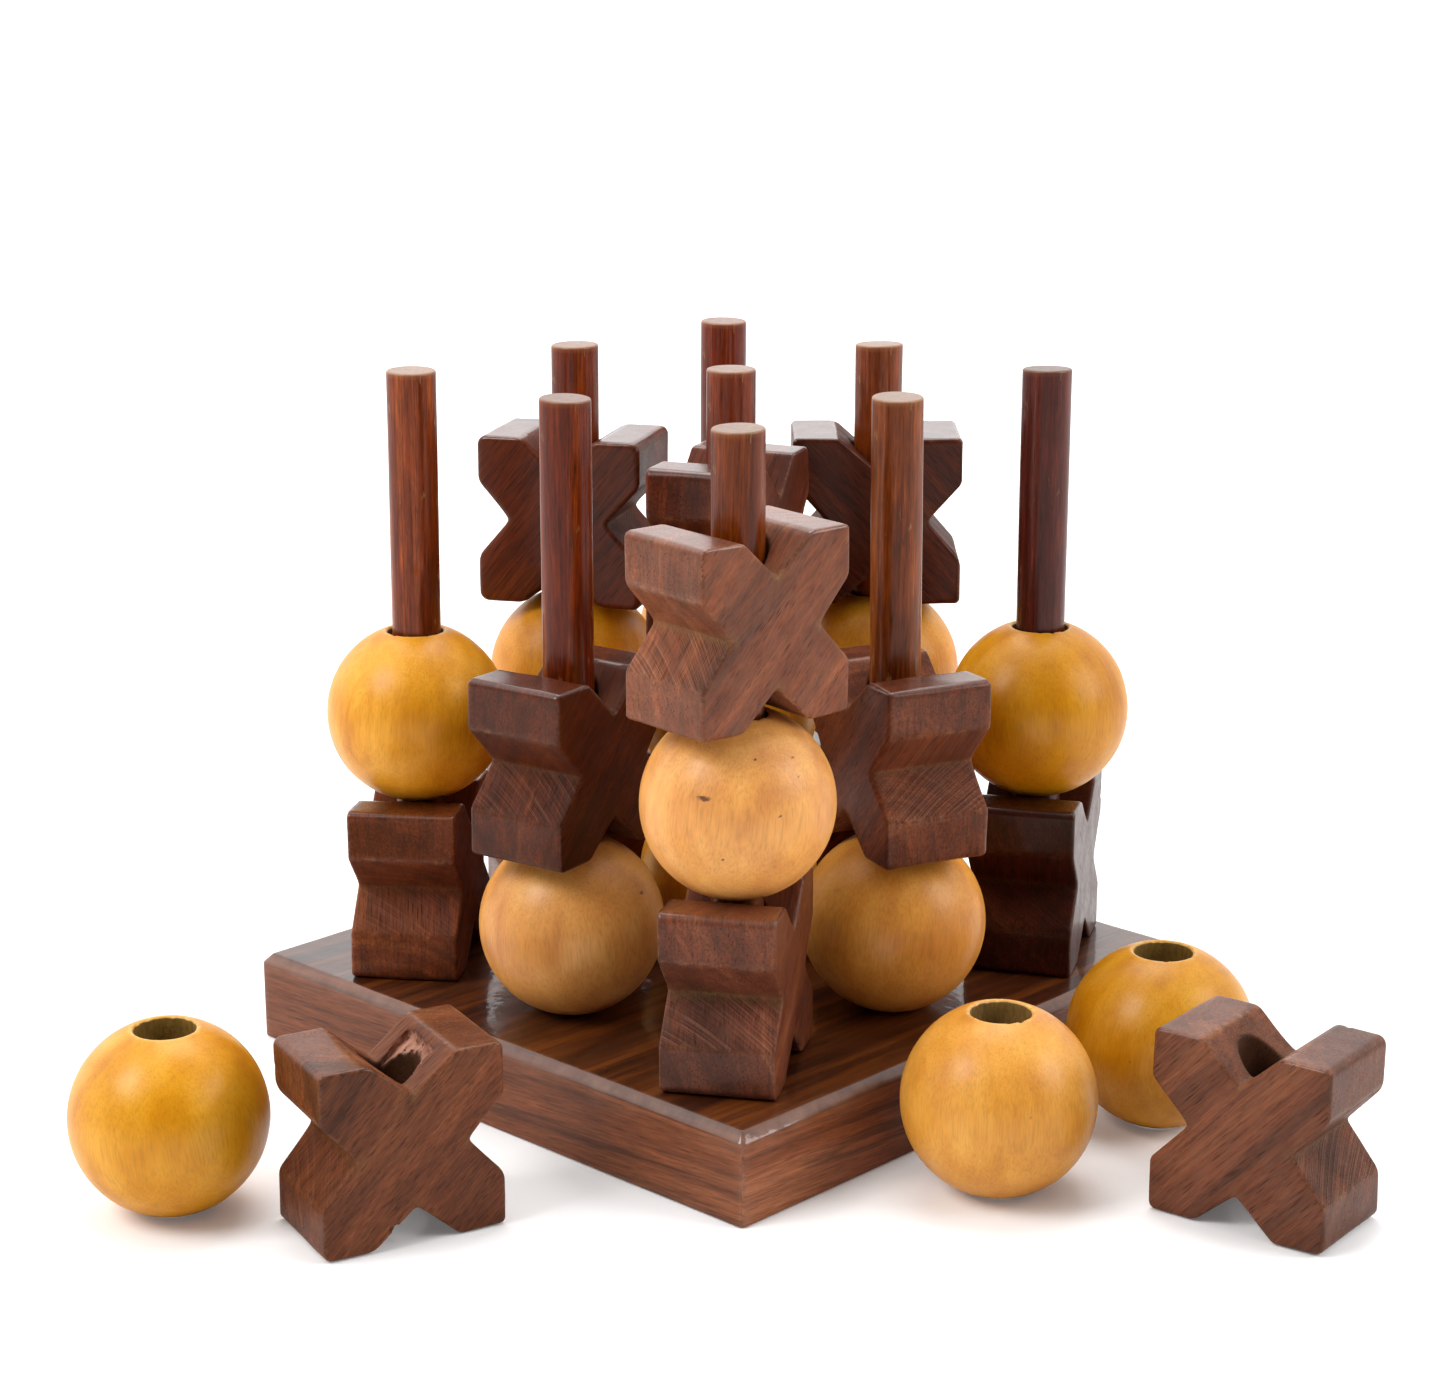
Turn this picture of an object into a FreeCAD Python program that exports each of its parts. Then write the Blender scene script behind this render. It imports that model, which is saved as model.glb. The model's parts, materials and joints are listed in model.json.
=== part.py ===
import FreeCAD, Part
import math
import os
import Sketcher

# Three-dimensional tic tac toe set in turned and sawn wood, millimetres, +Z up.
# The origin is the centre of the board's underside, where it stands on the table.
# The board's edges lie along X and Y; its front corner is at (+X, -Y).
# Nine dowel pegs stand in blind holes in the board. Every playing piece has a
# bore and drops over a peg, three to a peg: balls are one side, X blocks the other.
# Some pieces are stacked on the pegs and the rest lie on the table by the board.

doc = FreeCAD.newDocument("tic_tac_toe_set")

# ---------------------------------------------------------- driving dimensions
# alias, value, meaning
SIZES = [
    ("board_side", 152.0, "board, length of each side"),
    ("board_thick", 20.0, "board, thickness"),
    ("board_chamfer", 2.0, "board, 45 degree chamfer round the top edge"),
    ("board_corner", 1.2, "board, rounding of the upright corners"),
    ("peg_pitch", 49.5, "pegs, centre to centre"),
    ("peg_diameter", 11.0, "pegs, diameter of the dowel"),
    ("peg_height", 135.0, "pegs, height above the board"),
    ("peg_socket", 12.0, "pegs, depth of the blind hole each is glued in"),
    ("glue_gap", 0.02, "pegs, radial glue gap in the blind hole"),
    ("peg_ease", 0.5, "pegs, easing round the top end"),
    ("ball_diameter", 40.5, "ball piece, diameter"),
    ("bore_diameter", 12.4, "ball and X pieces, diameter of the bore"),
    ("block_side", 39.0, "X piece, width and height"),
    ("block_thick", 24.4, "X piece, thickness"),
    ("notch_half", 8.6, "X piece, half the mouth of each V notch"),
    ("notch_depth", 7.8, "X piece, depth of each V notch"),
    ("block_ease", 0.6, "X piece, easing round the two X faces"),
    ("seat_gap", 0.05, "gap left between stacked pieces so that they only just touch"),
]

# Each peg: its place in pitches along X and Y, then its stack from the bottom up.
# A stacked piece is its kind, "o" ball or "x" block, and its turn about the upright
# axis in degrees, measured from its X face looking along -Y. A ball's turn is unused.
PEGS = {
    "front": (1, -1, [("x", 120.3), ("o", 0), ("x", 84.1)]),
    "front_left": (0, -1, [("o", 0), ("x", 99.0)]),
    "front_right": (1, 0, [("o", 0), ("x", -21.0)]),
    "left": (-1, -1, [("x", 125.9), ("o", 0)]),
    "right": (1, 1, [("x", 117.9), ("o", 0)]),
    "centre": (0, 0, [("o", 0), ("o", 0), ("x", 113.0)]),
    "back_left": (-1, 0, [("x", 62.0), ("o", 0), ("x", 28.0)]),
    "back_right": (0, 1, [("x", 21.0), ("o", 0), ("x", 43.3)]),
    "back": (-1, 1, [("x", 45.0), ("o", 0)]),
}
LEVELS = ("low", "mid", "top")

# Each piece on the table: kind, X, Y, turn.
LOOSE = {
    "o_loose_left": ("o", -15.9, -146.7, 0),
    "o_loose_front": ("o", 99.4, -24.7, 0),
    "o_loose_rear": ("o", 102.2, 27.0, 0),
    "x_loose_left": ("x", 22.4, -121.2, 72.5),
    "x_loose_right": ("x", 146.2, 2.1, 6.1),
}


def sheet_rows():
    """All rows of the sheet: the sizes, then the turns and places of the pieces."""
    rows = list(SIZES)
    for peg, (_, _, stack) in PEGS.items():
        for level, (kind, turn) in zip(LEVELS, stack):
            if kind == "x":
                rows.append(("turn_x_%s_%s" % (peg, level), turn,
                             "turn of this X piece, degrees"))
    for label, (kind, x, y, turn) in LOOSE.items():
        rows.append(("east_" + label, x, "X of this loose piece"))
        rows.append(("north_" + label, y, "Y of this loose piece"))
        if kind == "x":
            rows.append(("turn_" + label, turn, "turn of this loose X piece, degrees"))
    return rows


sheet = doc.addObject("Spreadsheet::Sheet", "Sizes")
for row, (alias, value, meaning) in enumerate(sheet_rows(), 1):
    sheet.set("A%d" % row, meaning)
    sheet.set("B%d" % row, str(value))
    sheet.setAlias("B%d" % row, alias)
doc.recompute()


def size(alias):
    return float(sheet.get(alias))


# -------------------------------------------------------------- sketch helpers
# A coordinate is a pair: its present value and the sheet expression that drives it.
ZERO = (0, "0")


def both_sides(value, expression):
    """The coordinate and its mirror image across the axis."""
    return (value, expression), (-value, "-" + expression)


def new_body(name, label):
    body = doc.addObject("PartDesign::Body", name)
    body.Label = label
    return body


def new_sketch(body, name, role="XY_Plane"):
    sketch = body.newObject("Sketcher::SketchObject", name)
    plane = next(f for f in body.Origin.OriginFeatures if f.Role == role)
    sketch.AttachmentSupport = [(plane, "")]
    sketch.MapMode = "FlatFace"
    return sketch


def drive(sketch, constraint, name, expression):
    """Adds a named constraint whose value comes from the sheet."""
    index = sketch.addConstraint(constraint)
    sketch.renameConstraint(index, name)
    sketch.setExpression("Constraints." + name, expression)


def hold_point(sketch, geo, end, x, y, tag):
    """Holds one point of a shape at two coordinates, or on an axis where one is zero."""
    for kind, axis, letter, (value, expression) in (
            ("DistanceX", -2, "x", x), ("DistanceY", -1, "y", y)):
        if expression == "0":
            sketch.addConstraint(Sketcher.Constraint("PointOnObject", geo, end, axis))
        else:
            drive(sketch, Sketcher.Constraint(kind, -1, 1, geo, end, value),
                  tag + letter, expression)


def outline(sketch, corners):
    """A closed outline of straight lines through corners, each an (x, y) of coordinates."""
    points = [FreeCAD.Vector(x[0], y[0], 0) for x, y in corners]
    count = len(points)
    for i in range(count):
        sketch.addGeometry(Part.LineSegment(points[i], points[(i + 1) % count]), False)
    for i in range(count):
        sketch.addConstraint(Sketcher.Constraint("Coincident", i, 2, (i + 1) % count, 1))
    for i, (x, y) in enumerate(corners):
        hold_point(sketch, i, 1, x, y, "c%d" % i)


def circle(sketch, x, y, radius, tag):
    centre = FreeCAD.Vector(x[0], y[0], 0)
    geo = sketch.addGeometry(Part.Circle(centre, FreeCAD.Vector(0, 0, 1), radius[0]), False)
    if x == ZERO and y == ZERO:
        sketch.addConstraint(Sketcher.Constraint("Coincident", geo, 3, -1, 1))
    else:
        hold_point(sketch, geo, 3, x, y, tag)
    drive(sketch, Sketcher.Constraint("Radius", geo, radius[0]), tag + "rad", radius[1])


# --------------------------------------------------------------- solid helpers
def finish(body, feature):
    body.Tip = feature
    doc.recompute()


def add_pad(body, name, sketch, length, midplane=False):
    pad = body.newObject("PartDesign::Pad", name)
    pad.Profile = sketch
    if midplane:
        pad.Midplane = True
    pad.setExpression("Length", length)
    finish(body, pad)
    return pad


def add_chamfer(body, name, base, edges, width):
    chamfer = body.newObject("PartDesign::Chamfer", name)
    chamfer.Base = (base, edges)
    chamfer.setExpression("Size", width)
    finish(body, chamfer)
    return chamfer


def edge_names(feature, wanted):
    """Names of the edges for which wanted(list of end points) is true."""
    return ["Edge%d" % i for i, edge in enumerate(feature.Shape.Edges, 1)
            if wanted([vertex.Point for vertex in edge.Vertexes])]


def edges_at_height(feature, z):
    return edge_names(feature, lambda ends: all(abs(end.z - z) < 1e-6 for end in ends))


def cut_check(body, before, least, words):
    removed = before - body.Shape.Volume
    if not removed > least:
        raise RuntimeError("%s: %s removed only %.2f mm3" % (body.Label, words, removed))


def place(body, x, y, z):
    for axis, expression in (("x", x), ("y", y), ("z", z)):
        body.setExpression("Placement.Base." + axis, expression)


def peg_place(step_x, step_y):
    """X and Y expressions of a peg's axis."""
    return "%d * Sizes.peg_pitch" % step_x, "%d * Sizes.peg_pitch" % step_y


# ------------------------------------------------------------------- the board
def make_board():
    body = new_body("Board", "base_board")
    sketch = new_sketch(body, "BoardOutline")
    high, low = both_sides(size("board_side") / 2, "Sizes.board_side / 2")
    outline(sketch, [(low, low), (high, low), (high, high), (low, high)])
    pad = add_pad(body, "BoardPad", sketch, "Sizes.board_thick")
    chamfer = add_chamfer(body, "BoardTopChamfer", pad,
                          edges_at_height(pad, size("board_thick")), "Sizes.board_chamfer")

    # the upright corners and the mitres above them
    fillet = body.newObject("PartDesign::Fillet", "BoardCorners")
    fillet.Base = (chamfer,
                   edge_names(chamfer, lambda ends: abs(ends[0].z - ends[-1].z) > 1))
    fillet.setExpression("Radius", "Sizes.board_corner")
    finish(body, fillet)

    # nine blind holes for the pegs
    before = body.Shape.Volume
    holes = new_sketch(body, "PegHoles")
    holes.setExpression("AttachmentOffset.Base.z", "Sizes.board_thick")
    doc.recompute()
    right, left = both_sides(size("peg_pitch"), "Sizes.peg_pitch")
    steps = {-1: left, 0: ZERO, 1: right}
    radius = size("peg_diameter") / 2 + size("glue_gap")
    for i, (step_x, step_y, _) in enumerate(PEGS.values()):
        circle(holes, steps[step_x], steps[step_y],
               (radius, "Sizes.peg_diameter / 2 + Sizes.glue_gap"), "h%d" % i)
    pocket = body.newObject("PartDesign::Pocket", "PegSockets")
    pocket.Profile = holes
    pocket.setExpression("Length", "Sizes.peg_socket")
    finish(body, pocket)
    hole_volume = math.pi * radius ** 2 * size("peg_socket")
    cut_check(body, before, 0.95 * len(PEGS) * hole_volume, "peg sockets")
    return body


# -------------------------------------------------------------------- the pegs
# A peg's own origin is the centre of its lower end, at the bottom of its socket.
def make_peg(name, step_x, step_y):
    body = new_body("Peg_" + name, "peg_" + name)
    sketch = new_sketch(body, "PegSection_" + name)
    circle(sketch, ZERO, ZERO, (size("peg_diameter") / 2, "Sizes.peg_diameter / 2"), "d")
    pad = add_pad(body, "PegPad_" + name, sketch, "Sizes.peg_height + Sizes.peg_socket")
    top = size("peg_height") + size("peg_socket")
    add_chamfer(body, "PegEase_" + name, pad, edges_at_height(pad, top), "Sizes.peg_ease")
    place(body, *peg_place(step_x, step_y), "Sizes.board_thick - Sizes.peg_socket")
    return body


# ------------------------------------------------------------- the ball pieces
# A turned ball with a straight bore through it; its own origin is its centre.
def make_ball(label, x, y, z):
    body = new_body("Ball_" + label, label)
    sketch = new_sketch(body, "BallSection_" + label, "XZ_Plane")
    ball, bore = size("ball_diameter") / 2, size("bore_diameter") / 2
    rim = math.sqrt(ball ** 2 - bore ** 2)  # height of the bore's rim above the centre
    angle = math.asin(rim / ball)
    Vector = FreeCAD.Vector
    whole = Part.Circle(Vector(0, 0, 0), Vector(0, 0, 1), ball)
    arc = sketch.addGeometry(Part.ArcOfCircle(whole, -angle, angle), False)
    wall = sketch.addGeometry(
        Part.LineSegment(Vector(bore, rim, 0), Vector(bore, -rim, 0)), False)
    sketch.addConstraint(Sketcher.Constraint("Coincident", arc, 3, -1, 1))
    sketch.addConstraint(Sketcher.Constraint("Coincident", arc, 2, wall, 1))
    sketch.addConstraint(Sketcher.Constraint("Coincident", wall, 2, arc, 1))
    sketch.addConstraint(Sketcher.Constraint("Vertical", wall))
    drive(sketch, Sketcher.Constraint("Radius", arc, ball),
          "ballrad", "Sizes.ball_diameter / 2")
    drive(sketch, Sketcher.Constraint("DistanceX", -1, 1, wall, 1, bore),
          "borerad", "Sizes.bore_diameter / 2")
    turning = body.newObject("PartDesign::Revolution", "BallTurning_" + label)
    turning.Profile = sketch
    turning.ReferenceAxis = (sketch, ["V_Axis"])
    turning.Angle = 360.0
    body.Tip = turning
    place(body, x, y, z)
    doc.recompute()

    # a bored ball holds as much as a whole ball of radius rim
    expected = 4.0 / 3.0 * math.pi * rim ** 3
    if abs(body.Shape.Volume - expected) > 1.0:
        raise RuntimeError("%s: bored ball has volume %.1f, not %.1f"
                           % (label, body.Shape.Volume, expected))
    return body


# ---------------------------------------------------------------- the X pieces
# A square block with a V notch sawn in each of its four sides, and a bore that
# runs upright from the top notch to the bottom one. Its own origin is its centre,
# its X faces look along Y.
def make_block(label, x, y, z, turn):
    body = new_body("Block_" + label, label)
    sketch = new_sketch(body, "BlockOutline_" + label, "XZ_Plane")
    half_side = size("block_side") / 2
    root_reach = half_side - size("notch_depth")
    # the block's side, the lip of a notch and the root of a notch, from the centre
    side, side_neg = both_sides(half_side, "Sizes.block_side / 2")
    lip, lip_neg = both_sides(size("notch_half"), "Sizes.notch_half")
    root, root_neg = both_sides(root_reach, "(Sizes.block_side / 2 - Sizes.notch_depth)")
    outline(sketch, [
        (side_neg, side), (lip_neg, side), (ZERO, root), (lip, side),
        (side, side), (side, lip), (root, ZERO), (side, lip_neg),
        (side, side_neg), (lip, side_neg), (ZERO, root_neg), (lip_neg, side_neg),
        (side_neg, side_neg), (side_neg, lip_neg), (root_neg, ZERO), (side_neg, lip),
    ])
    pad = add_pad(body, "BlockPad_" + label, sketch, "Sizes.block_thick", midplane=True)

    # the edges round both X faces
    half_thick = size("block_thick") / 2
    face_edges = edge_names(pad, lambda ends: (
        all(abs(abs(end.y) - half_thick) < 1e-6 for end in ends)
        and abs(ends[0].y - ends[-1].y) < 1e-6))
    add_chamfer(body, "BlockEase_" + label, pad, face_edges, "Sizes.block_ease")

    before = body.Shape.Volume
    section = new_sketch(body, "BlockBoreSection_" + label)
    bore = size("bore_diameter") / 2
    circle(section, ZERO, ZERO, (bore, "Sizes.bore_diameter / 2"), "b")
    pocket = body.newObject("PartDesign::Pocket", "BlockBore_" + label)
    pocket.Profile = section
    pocket.Type = "ThroughAll"
    pocket.Midplane = True
    finish(body, pocket)
    cut_check(body, before, 0.95 * 2 * root_reach * math.pi * bore ** 2, "bore")

    place(body, x, y, z)
    # a small turn fixes the rotation axis upright before its angle is bound
    upright = FreeCAD.Rotation(FreeCAD.Vector(0, 0, 1), 1.0)
    body.Placement = FreeCAD.Placement(body.Placement.Base, upright)
    body.setExpression("Placement.Rotation.Angle", turn)
    doc.recompute()
    return body


def make_piece(kind, label, x, y, z):
    if kind == "o":
        return make_ball(label, x, y, z)
    return make_block(label, x, y, z, "Sizes.turn_" + label)


# -------------------------------------------------------------------- assembly
# Height from a ball's centre to the rim of its bore, and to the lips of a V notch
# that it sinks between.
RIM = "sqrt((Sizes.ball_diameter / 2)^2 - (Sizes.bore_diameter / 2)^2)"
LIP = "sqrt((Sizes.ball_diameter / 2)^2 - Sizes.notch_half^2)"
HALF_BLOCK = "Sizes.block_side / 2"

# Rise to a piece's centre, by the kind below it and its own kind: from the centre
# of the piece below, or from the surface it stands on where there is none.
RISE = {
    (None, "o"): RIM,
    ("o", "o"): "2 * " + RIM,
    ("x", "o"): HALF_BLOCK + " + " + LIP,
    (None, "x"): HALF_BLOCK,
    ("x", "x"): "Sizes.block_side",
    ("o", "x"): LIP + " + " + HALF_BLOCK,
}


def make_stack(peg, step_x, step_y, stack):
    pieces = []
    z, below = "Sizes.board_thick", None
    for level, (kind, _) in zip(LEVELS, stack):
        z += " + " + RISE[below, kind] + " + Sizes.seat_gap"
        label = "%s_%s_%s" % (kind, peg, level)
        pieces.append(make_piece(kind, label, *peg_place(step_x, step_y), z))
        below = kind
    return pieces


parts = [make_board()]
for peg, (step_x, step_y, _) in PEGS.items():
    parts.append(make_peg(peg, step_x, step_y))
for peg, (step_x, step_y, stack) in PEGS.items():
    parts += make_stack(peg, step_x, step_y, stack)
for label, (kind, _, _, _) in LOOSE.items():
    parts.append(make_piece(kind, label, "Sizes.east_" + label, "Sizes.north_" + label,
                            RISE[None, kind]))
doc.recompute()

# ------------------------------------------------------------ check and export
faults = ["%s %s" % (item.Name, item.State) for item in doc.Objects
          if "Invalid" in item.State or "Error" in item.State]
for body in parts:
    shape = body.Shape
    if shape.isNull() or not shape.isValid() or len(shape.Solids) != 1:
        faults.append("%s shape" % body.Label)
if len({body.Label for body in parts}) != len(parts):
    faults.append("two parts share a label")
if faults:
    raise RuntimeError("; ".join(faults))

os.makedirs("parts", exist_ok=True)
for body in parts:
    body.Shape.exportStep(os.path.join("parts", body.Label + ".step"))
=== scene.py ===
import sys
import json
import math
import bpy
import bmesh
import numpy as np
from mathutils import Vector
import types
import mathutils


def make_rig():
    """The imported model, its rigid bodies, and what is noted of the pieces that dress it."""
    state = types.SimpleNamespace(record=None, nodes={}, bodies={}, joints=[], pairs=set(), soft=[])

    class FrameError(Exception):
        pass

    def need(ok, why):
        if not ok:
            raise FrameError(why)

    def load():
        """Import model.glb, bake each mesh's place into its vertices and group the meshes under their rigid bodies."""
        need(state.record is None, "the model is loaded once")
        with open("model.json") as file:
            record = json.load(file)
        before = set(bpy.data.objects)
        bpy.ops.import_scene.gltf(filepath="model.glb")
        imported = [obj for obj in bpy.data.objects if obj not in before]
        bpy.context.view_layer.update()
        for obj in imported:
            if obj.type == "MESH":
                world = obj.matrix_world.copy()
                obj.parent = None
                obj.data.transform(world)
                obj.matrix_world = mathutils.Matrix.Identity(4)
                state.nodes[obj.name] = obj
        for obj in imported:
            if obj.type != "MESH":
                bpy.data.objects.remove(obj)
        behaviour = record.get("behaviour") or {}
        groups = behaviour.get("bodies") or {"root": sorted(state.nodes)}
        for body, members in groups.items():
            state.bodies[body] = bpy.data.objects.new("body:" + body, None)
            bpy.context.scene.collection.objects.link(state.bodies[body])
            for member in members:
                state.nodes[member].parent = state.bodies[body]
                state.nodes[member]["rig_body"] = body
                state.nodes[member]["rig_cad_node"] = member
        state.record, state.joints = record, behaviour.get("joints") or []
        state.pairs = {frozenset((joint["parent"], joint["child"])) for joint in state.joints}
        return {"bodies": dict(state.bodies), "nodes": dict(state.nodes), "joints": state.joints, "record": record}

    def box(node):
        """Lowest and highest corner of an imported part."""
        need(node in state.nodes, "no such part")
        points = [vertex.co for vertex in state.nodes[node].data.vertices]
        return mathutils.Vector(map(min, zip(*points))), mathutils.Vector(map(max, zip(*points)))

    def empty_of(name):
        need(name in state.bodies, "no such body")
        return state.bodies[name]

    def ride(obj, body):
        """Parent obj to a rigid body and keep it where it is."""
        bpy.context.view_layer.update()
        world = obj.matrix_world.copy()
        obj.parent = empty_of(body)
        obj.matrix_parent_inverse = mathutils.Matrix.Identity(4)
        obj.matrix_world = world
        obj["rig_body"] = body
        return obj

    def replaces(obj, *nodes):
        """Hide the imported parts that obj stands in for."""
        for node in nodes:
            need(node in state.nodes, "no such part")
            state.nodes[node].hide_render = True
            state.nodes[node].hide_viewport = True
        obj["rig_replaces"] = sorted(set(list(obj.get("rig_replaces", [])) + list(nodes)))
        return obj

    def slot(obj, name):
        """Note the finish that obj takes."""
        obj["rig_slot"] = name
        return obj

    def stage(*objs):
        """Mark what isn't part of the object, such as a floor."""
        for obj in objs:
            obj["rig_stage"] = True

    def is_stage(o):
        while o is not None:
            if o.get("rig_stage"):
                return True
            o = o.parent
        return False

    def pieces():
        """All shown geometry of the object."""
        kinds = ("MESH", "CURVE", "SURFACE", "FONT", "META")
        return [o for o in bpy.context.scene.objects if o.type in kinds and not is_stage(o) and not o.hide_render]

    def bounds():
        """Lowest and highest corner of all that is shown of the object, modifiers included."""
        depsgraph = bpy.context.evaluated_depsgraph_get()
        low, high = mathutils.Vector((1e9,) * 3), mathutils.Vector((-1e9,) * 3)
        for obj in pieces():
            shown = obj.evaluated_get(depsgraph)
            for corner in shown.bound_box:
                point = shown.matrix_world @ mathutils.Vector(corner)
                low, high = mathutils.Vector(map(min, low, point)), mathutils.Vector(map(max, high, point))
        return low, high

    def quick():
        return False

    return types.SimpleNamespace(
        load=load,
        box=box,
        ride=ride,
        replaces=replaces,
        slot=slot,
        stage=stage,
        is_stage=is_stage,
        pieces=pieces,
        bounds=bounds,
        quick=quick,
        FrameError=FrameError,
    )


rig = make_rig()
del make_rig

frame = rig.load()
for _o in list(bpy.context.scene.objects):
    if _o.type in ("CAMERA", "LIGHT") or _o.name == "Cube":
        bpy.data.objects.remove(_o)
CAD_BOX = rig.bounds()
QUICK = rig.quick()
MM = 0.001

# ---------------------------------------------------------------- numpy noise


def _hash(ix, iy, iz, seed):
    n = (ix * 374761393 + iy * 668265263 + iz * 2147483647 + seed * 974634777) & 0xFFFFFFFF
    n = (n ^ (n >> 13)) * 1274126177 & 0xFFFFFFFF
    n = (n ^ (n >> 16)) * 2246822519 & 0xFFFFFFFF
    n = n ^ (n >> 15)
    return (n & 0xFFFFFF) / float(0xFFFFFF) * 2.0 - 1.0


def vnoise(p, seed=0):
    """Smooth value noise in -1..1 at points p (N, 3)."""
    f = np.floor(p)
    i = f.astype(np.int64)
    u = p - f
    u = u * u * u * (u * (u * 6 - 15) + 10)
    out = 0.0
    for dx in (0, 1):
        for dy in (0, 1):
            for dz in (0, 1):
                w = ((u[:, 0] if dx else 1 - u[:, 0]) * (u[:, 1] if dy else 1 - u[:, 1])
                     * (u[:, 2] if dz else 1 - u[:, 2]))
                out = out + w * _hash(i[:, 0] + dx, i[:, 1] + dy, i[:, 2] + dz, seed)
    return out


def fbm(p, seed=0, octaves=3):
    a, s, out = 1.0, 1.0, 0.0
    for k in range(octaves):
        out = out + a * vnoise(p * s, seed + 17 * k)
        a *= 0.5
        s *= 2.03
    return out


# ------------------------------------------------------------- mesh helpers


def new_mesh(name, verts_mm, faces, smooth=True, floats=None, vectors=None):
    """A mesh object from millimetre points, with per-point attributes."""
    me = bpy.data.meshes.new(name)
    v = np.asarray(verts_mm, np.float64) * MM
    if isinstance(faces, np.ndarray):
        n, k = faces.shape
        me.vertices.add(len(v))
        me.vertices.foreach_set("co", v.astype(np.float32).ravel())
        me.loops.add(n * k)
        me.loops.foreach_set("vertex_index", faces.astype(np.int32).ravel())
        me.polygons.add(n)
        me.polygons.foreach_set("loop_start", np.arange(0, n * k, k, dtype=np.int32))
        me.polygons.foreach_set("loop_total", np.full(n, k, np.int32))
        me.update(calc_edges=True)
    else:
        me.from_pydata([tuple(x) for x in v], [], faces)
        me.update()
    me.validate()
    me.polygons.foreach_set("use_smooth", [smooth] * len(me.polygons))
    for k, a in (floats or {}).items():
        at = me.attributes.new(k, "FLOAT", "POINT")
        at.data.foreach_set("value", np.asarray(a, np.float32))
    for k, a in (vectors or {}).items():
        at = me.attributes.new(k, "FLOAT_VECTOR", "POINT")
        at.data.foreach_set("vector", np.asarray(a, np.float32).ravel())
    ob = bpy.data.objects.new(name, me)
    bpy.context.scene.collection.objects.link(ob)
    return ob


def surface_nets(f, origin, h):
    """Quads round the zero level of a sampled field, negative inside."""
    s = f < 0
    nx, ny, nz = f.shape
    c = [(dx, dy, dz) for dx in (0, 1) for dy in (0, 1) for dz in (0, 1)]

    def at(a, d):
        return a[d[0]:nx - 1 + d[0], d[1]:ny - 1 + d[1], d[2]:nz - 1 + d[2]]

    tot = sum(at(s, d).astype(np.int8) for d in c)
    mask = (tot > 0) & (tot < 8)
    idx = -np.ones(mask.shape, np.int64)
    cells = np.argwhere(mask)
    idx[mask] = np.arange(len(cells))
    acc = np.zeros((len(cells), 3))
    cnt = np.zeros(len(cells))
    ci, cj, ck = cells.T
    for a in c:
        for ax in range(3):
            if a[ax]:
                continue
            b = list(a)
            b[ax] = 1
            fa = f[ci + a[0], cj + a[1], ck + a[2]]
            fb = f[ci + b[0], cj + b[1], ck + b[2]]
            x = (fa < 0) != (fb < 0)
            t = np.where(x, fa / np.where(x, fa - fb, 1.0), 0.0)
            p = np.repeat(np.array([a], float), len(cells), 0)
            p[:, ax] = t
            acc += p * x[:, None]
            cnt += x
    v = (cells + acc / cnt[:, None]) * h + origin
    quads = []
    for ax in range(3):
        o1, o2 = [(1, 2), (2, 0), (0, 1)][ax]
        lo = [slice(None)] * 3
        hi = [slice(None)] * 3
        lo[ax], hi[ax] = slice(0, -1), slice(1, None)
        sa, sb = s[tuple(lo)], s[tuple(hi)]
        e = np.argwhere(sa != sb)
        ok = (e[:, o1] > 0) & (e[:, o2] > 0) & (e[:, o1] < f.shape[o1] - 1) & (e[:, o2] < f.shape[o2] - 1)
        e = e[ok]
        inside = sa[e[:, 0], e[:, 1], e[:, 2]]

        def cell(d1, d2):
            q = e.copy()
            q[:, o1] -= d1
            q[:, o2] -= d2
            return idx[q[:, 0], q[:, 1], q[:, 2]]

        q = np.stack([cell(1, 1), cell(0, 1), cell(0, 0), cell(1, 0)], 1)
        q[~inside] = q[~inside][:, ::-1]
        quads.append(q)
    return v, np.concatenate(quads)


def smax(a, b, r):
    """Intersection of two fields with a round edge of radius r."""
    u, v = np.maximum(a + r, 0), np.maximum(b + r, 0)
    both = (u > 0) & (v > 0)
    return np.where(both, np.sqrt(u * u + v * v) - r, np.maximum(a, b))


def frame_of(direction):
    """Rows: two cross directions and the grain direction."""
    g = np.array(direction, float)
    g /= np.linalg.norm(g)
    t = np.array([0, 1.0, 0]) if abs(g[1]) < 0.9 else np.array([1.0, 0, 0])
    a = np.cross(t, g)
    a /= np.linalg.norm(a)
    return np.stack([a, np.cross(g, a), g])


def wood_co(p, grain, pith, along):
    """Points in the wood's own space: z runs along the grain, the pith is the z axis."""
    q = p @ frame_of(grain).T
    return q + np.array([pith[0], pith[1], along])


# ---------------------------------------------------------------- X pieces
BS, BT, NH, ND = 39.0, 24.4, 8.6, 7.8


def x_rough(p):
    """The same piece with sharp edges and true faces, for a first look at the whole grid."""
    x, y, z = np.abs(p[:, 0]), np.abs(p[:, 1]), np.abs(p[:, 2])
    s = ND / NH
    n = math.sqrt(1 + s * s)
    v = BS / 2 - ND
    f = np.maximum(np.maximum(x, z) - BS / 2, y - BT / 2)
    f = np.maximum(f, np.maximum((z - v - s * x) / n, (x - v - s * z) / n))
    return np.maximum(f, 6.2 - np.hypot(p[:, 0], p[:, 1]))


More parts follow.
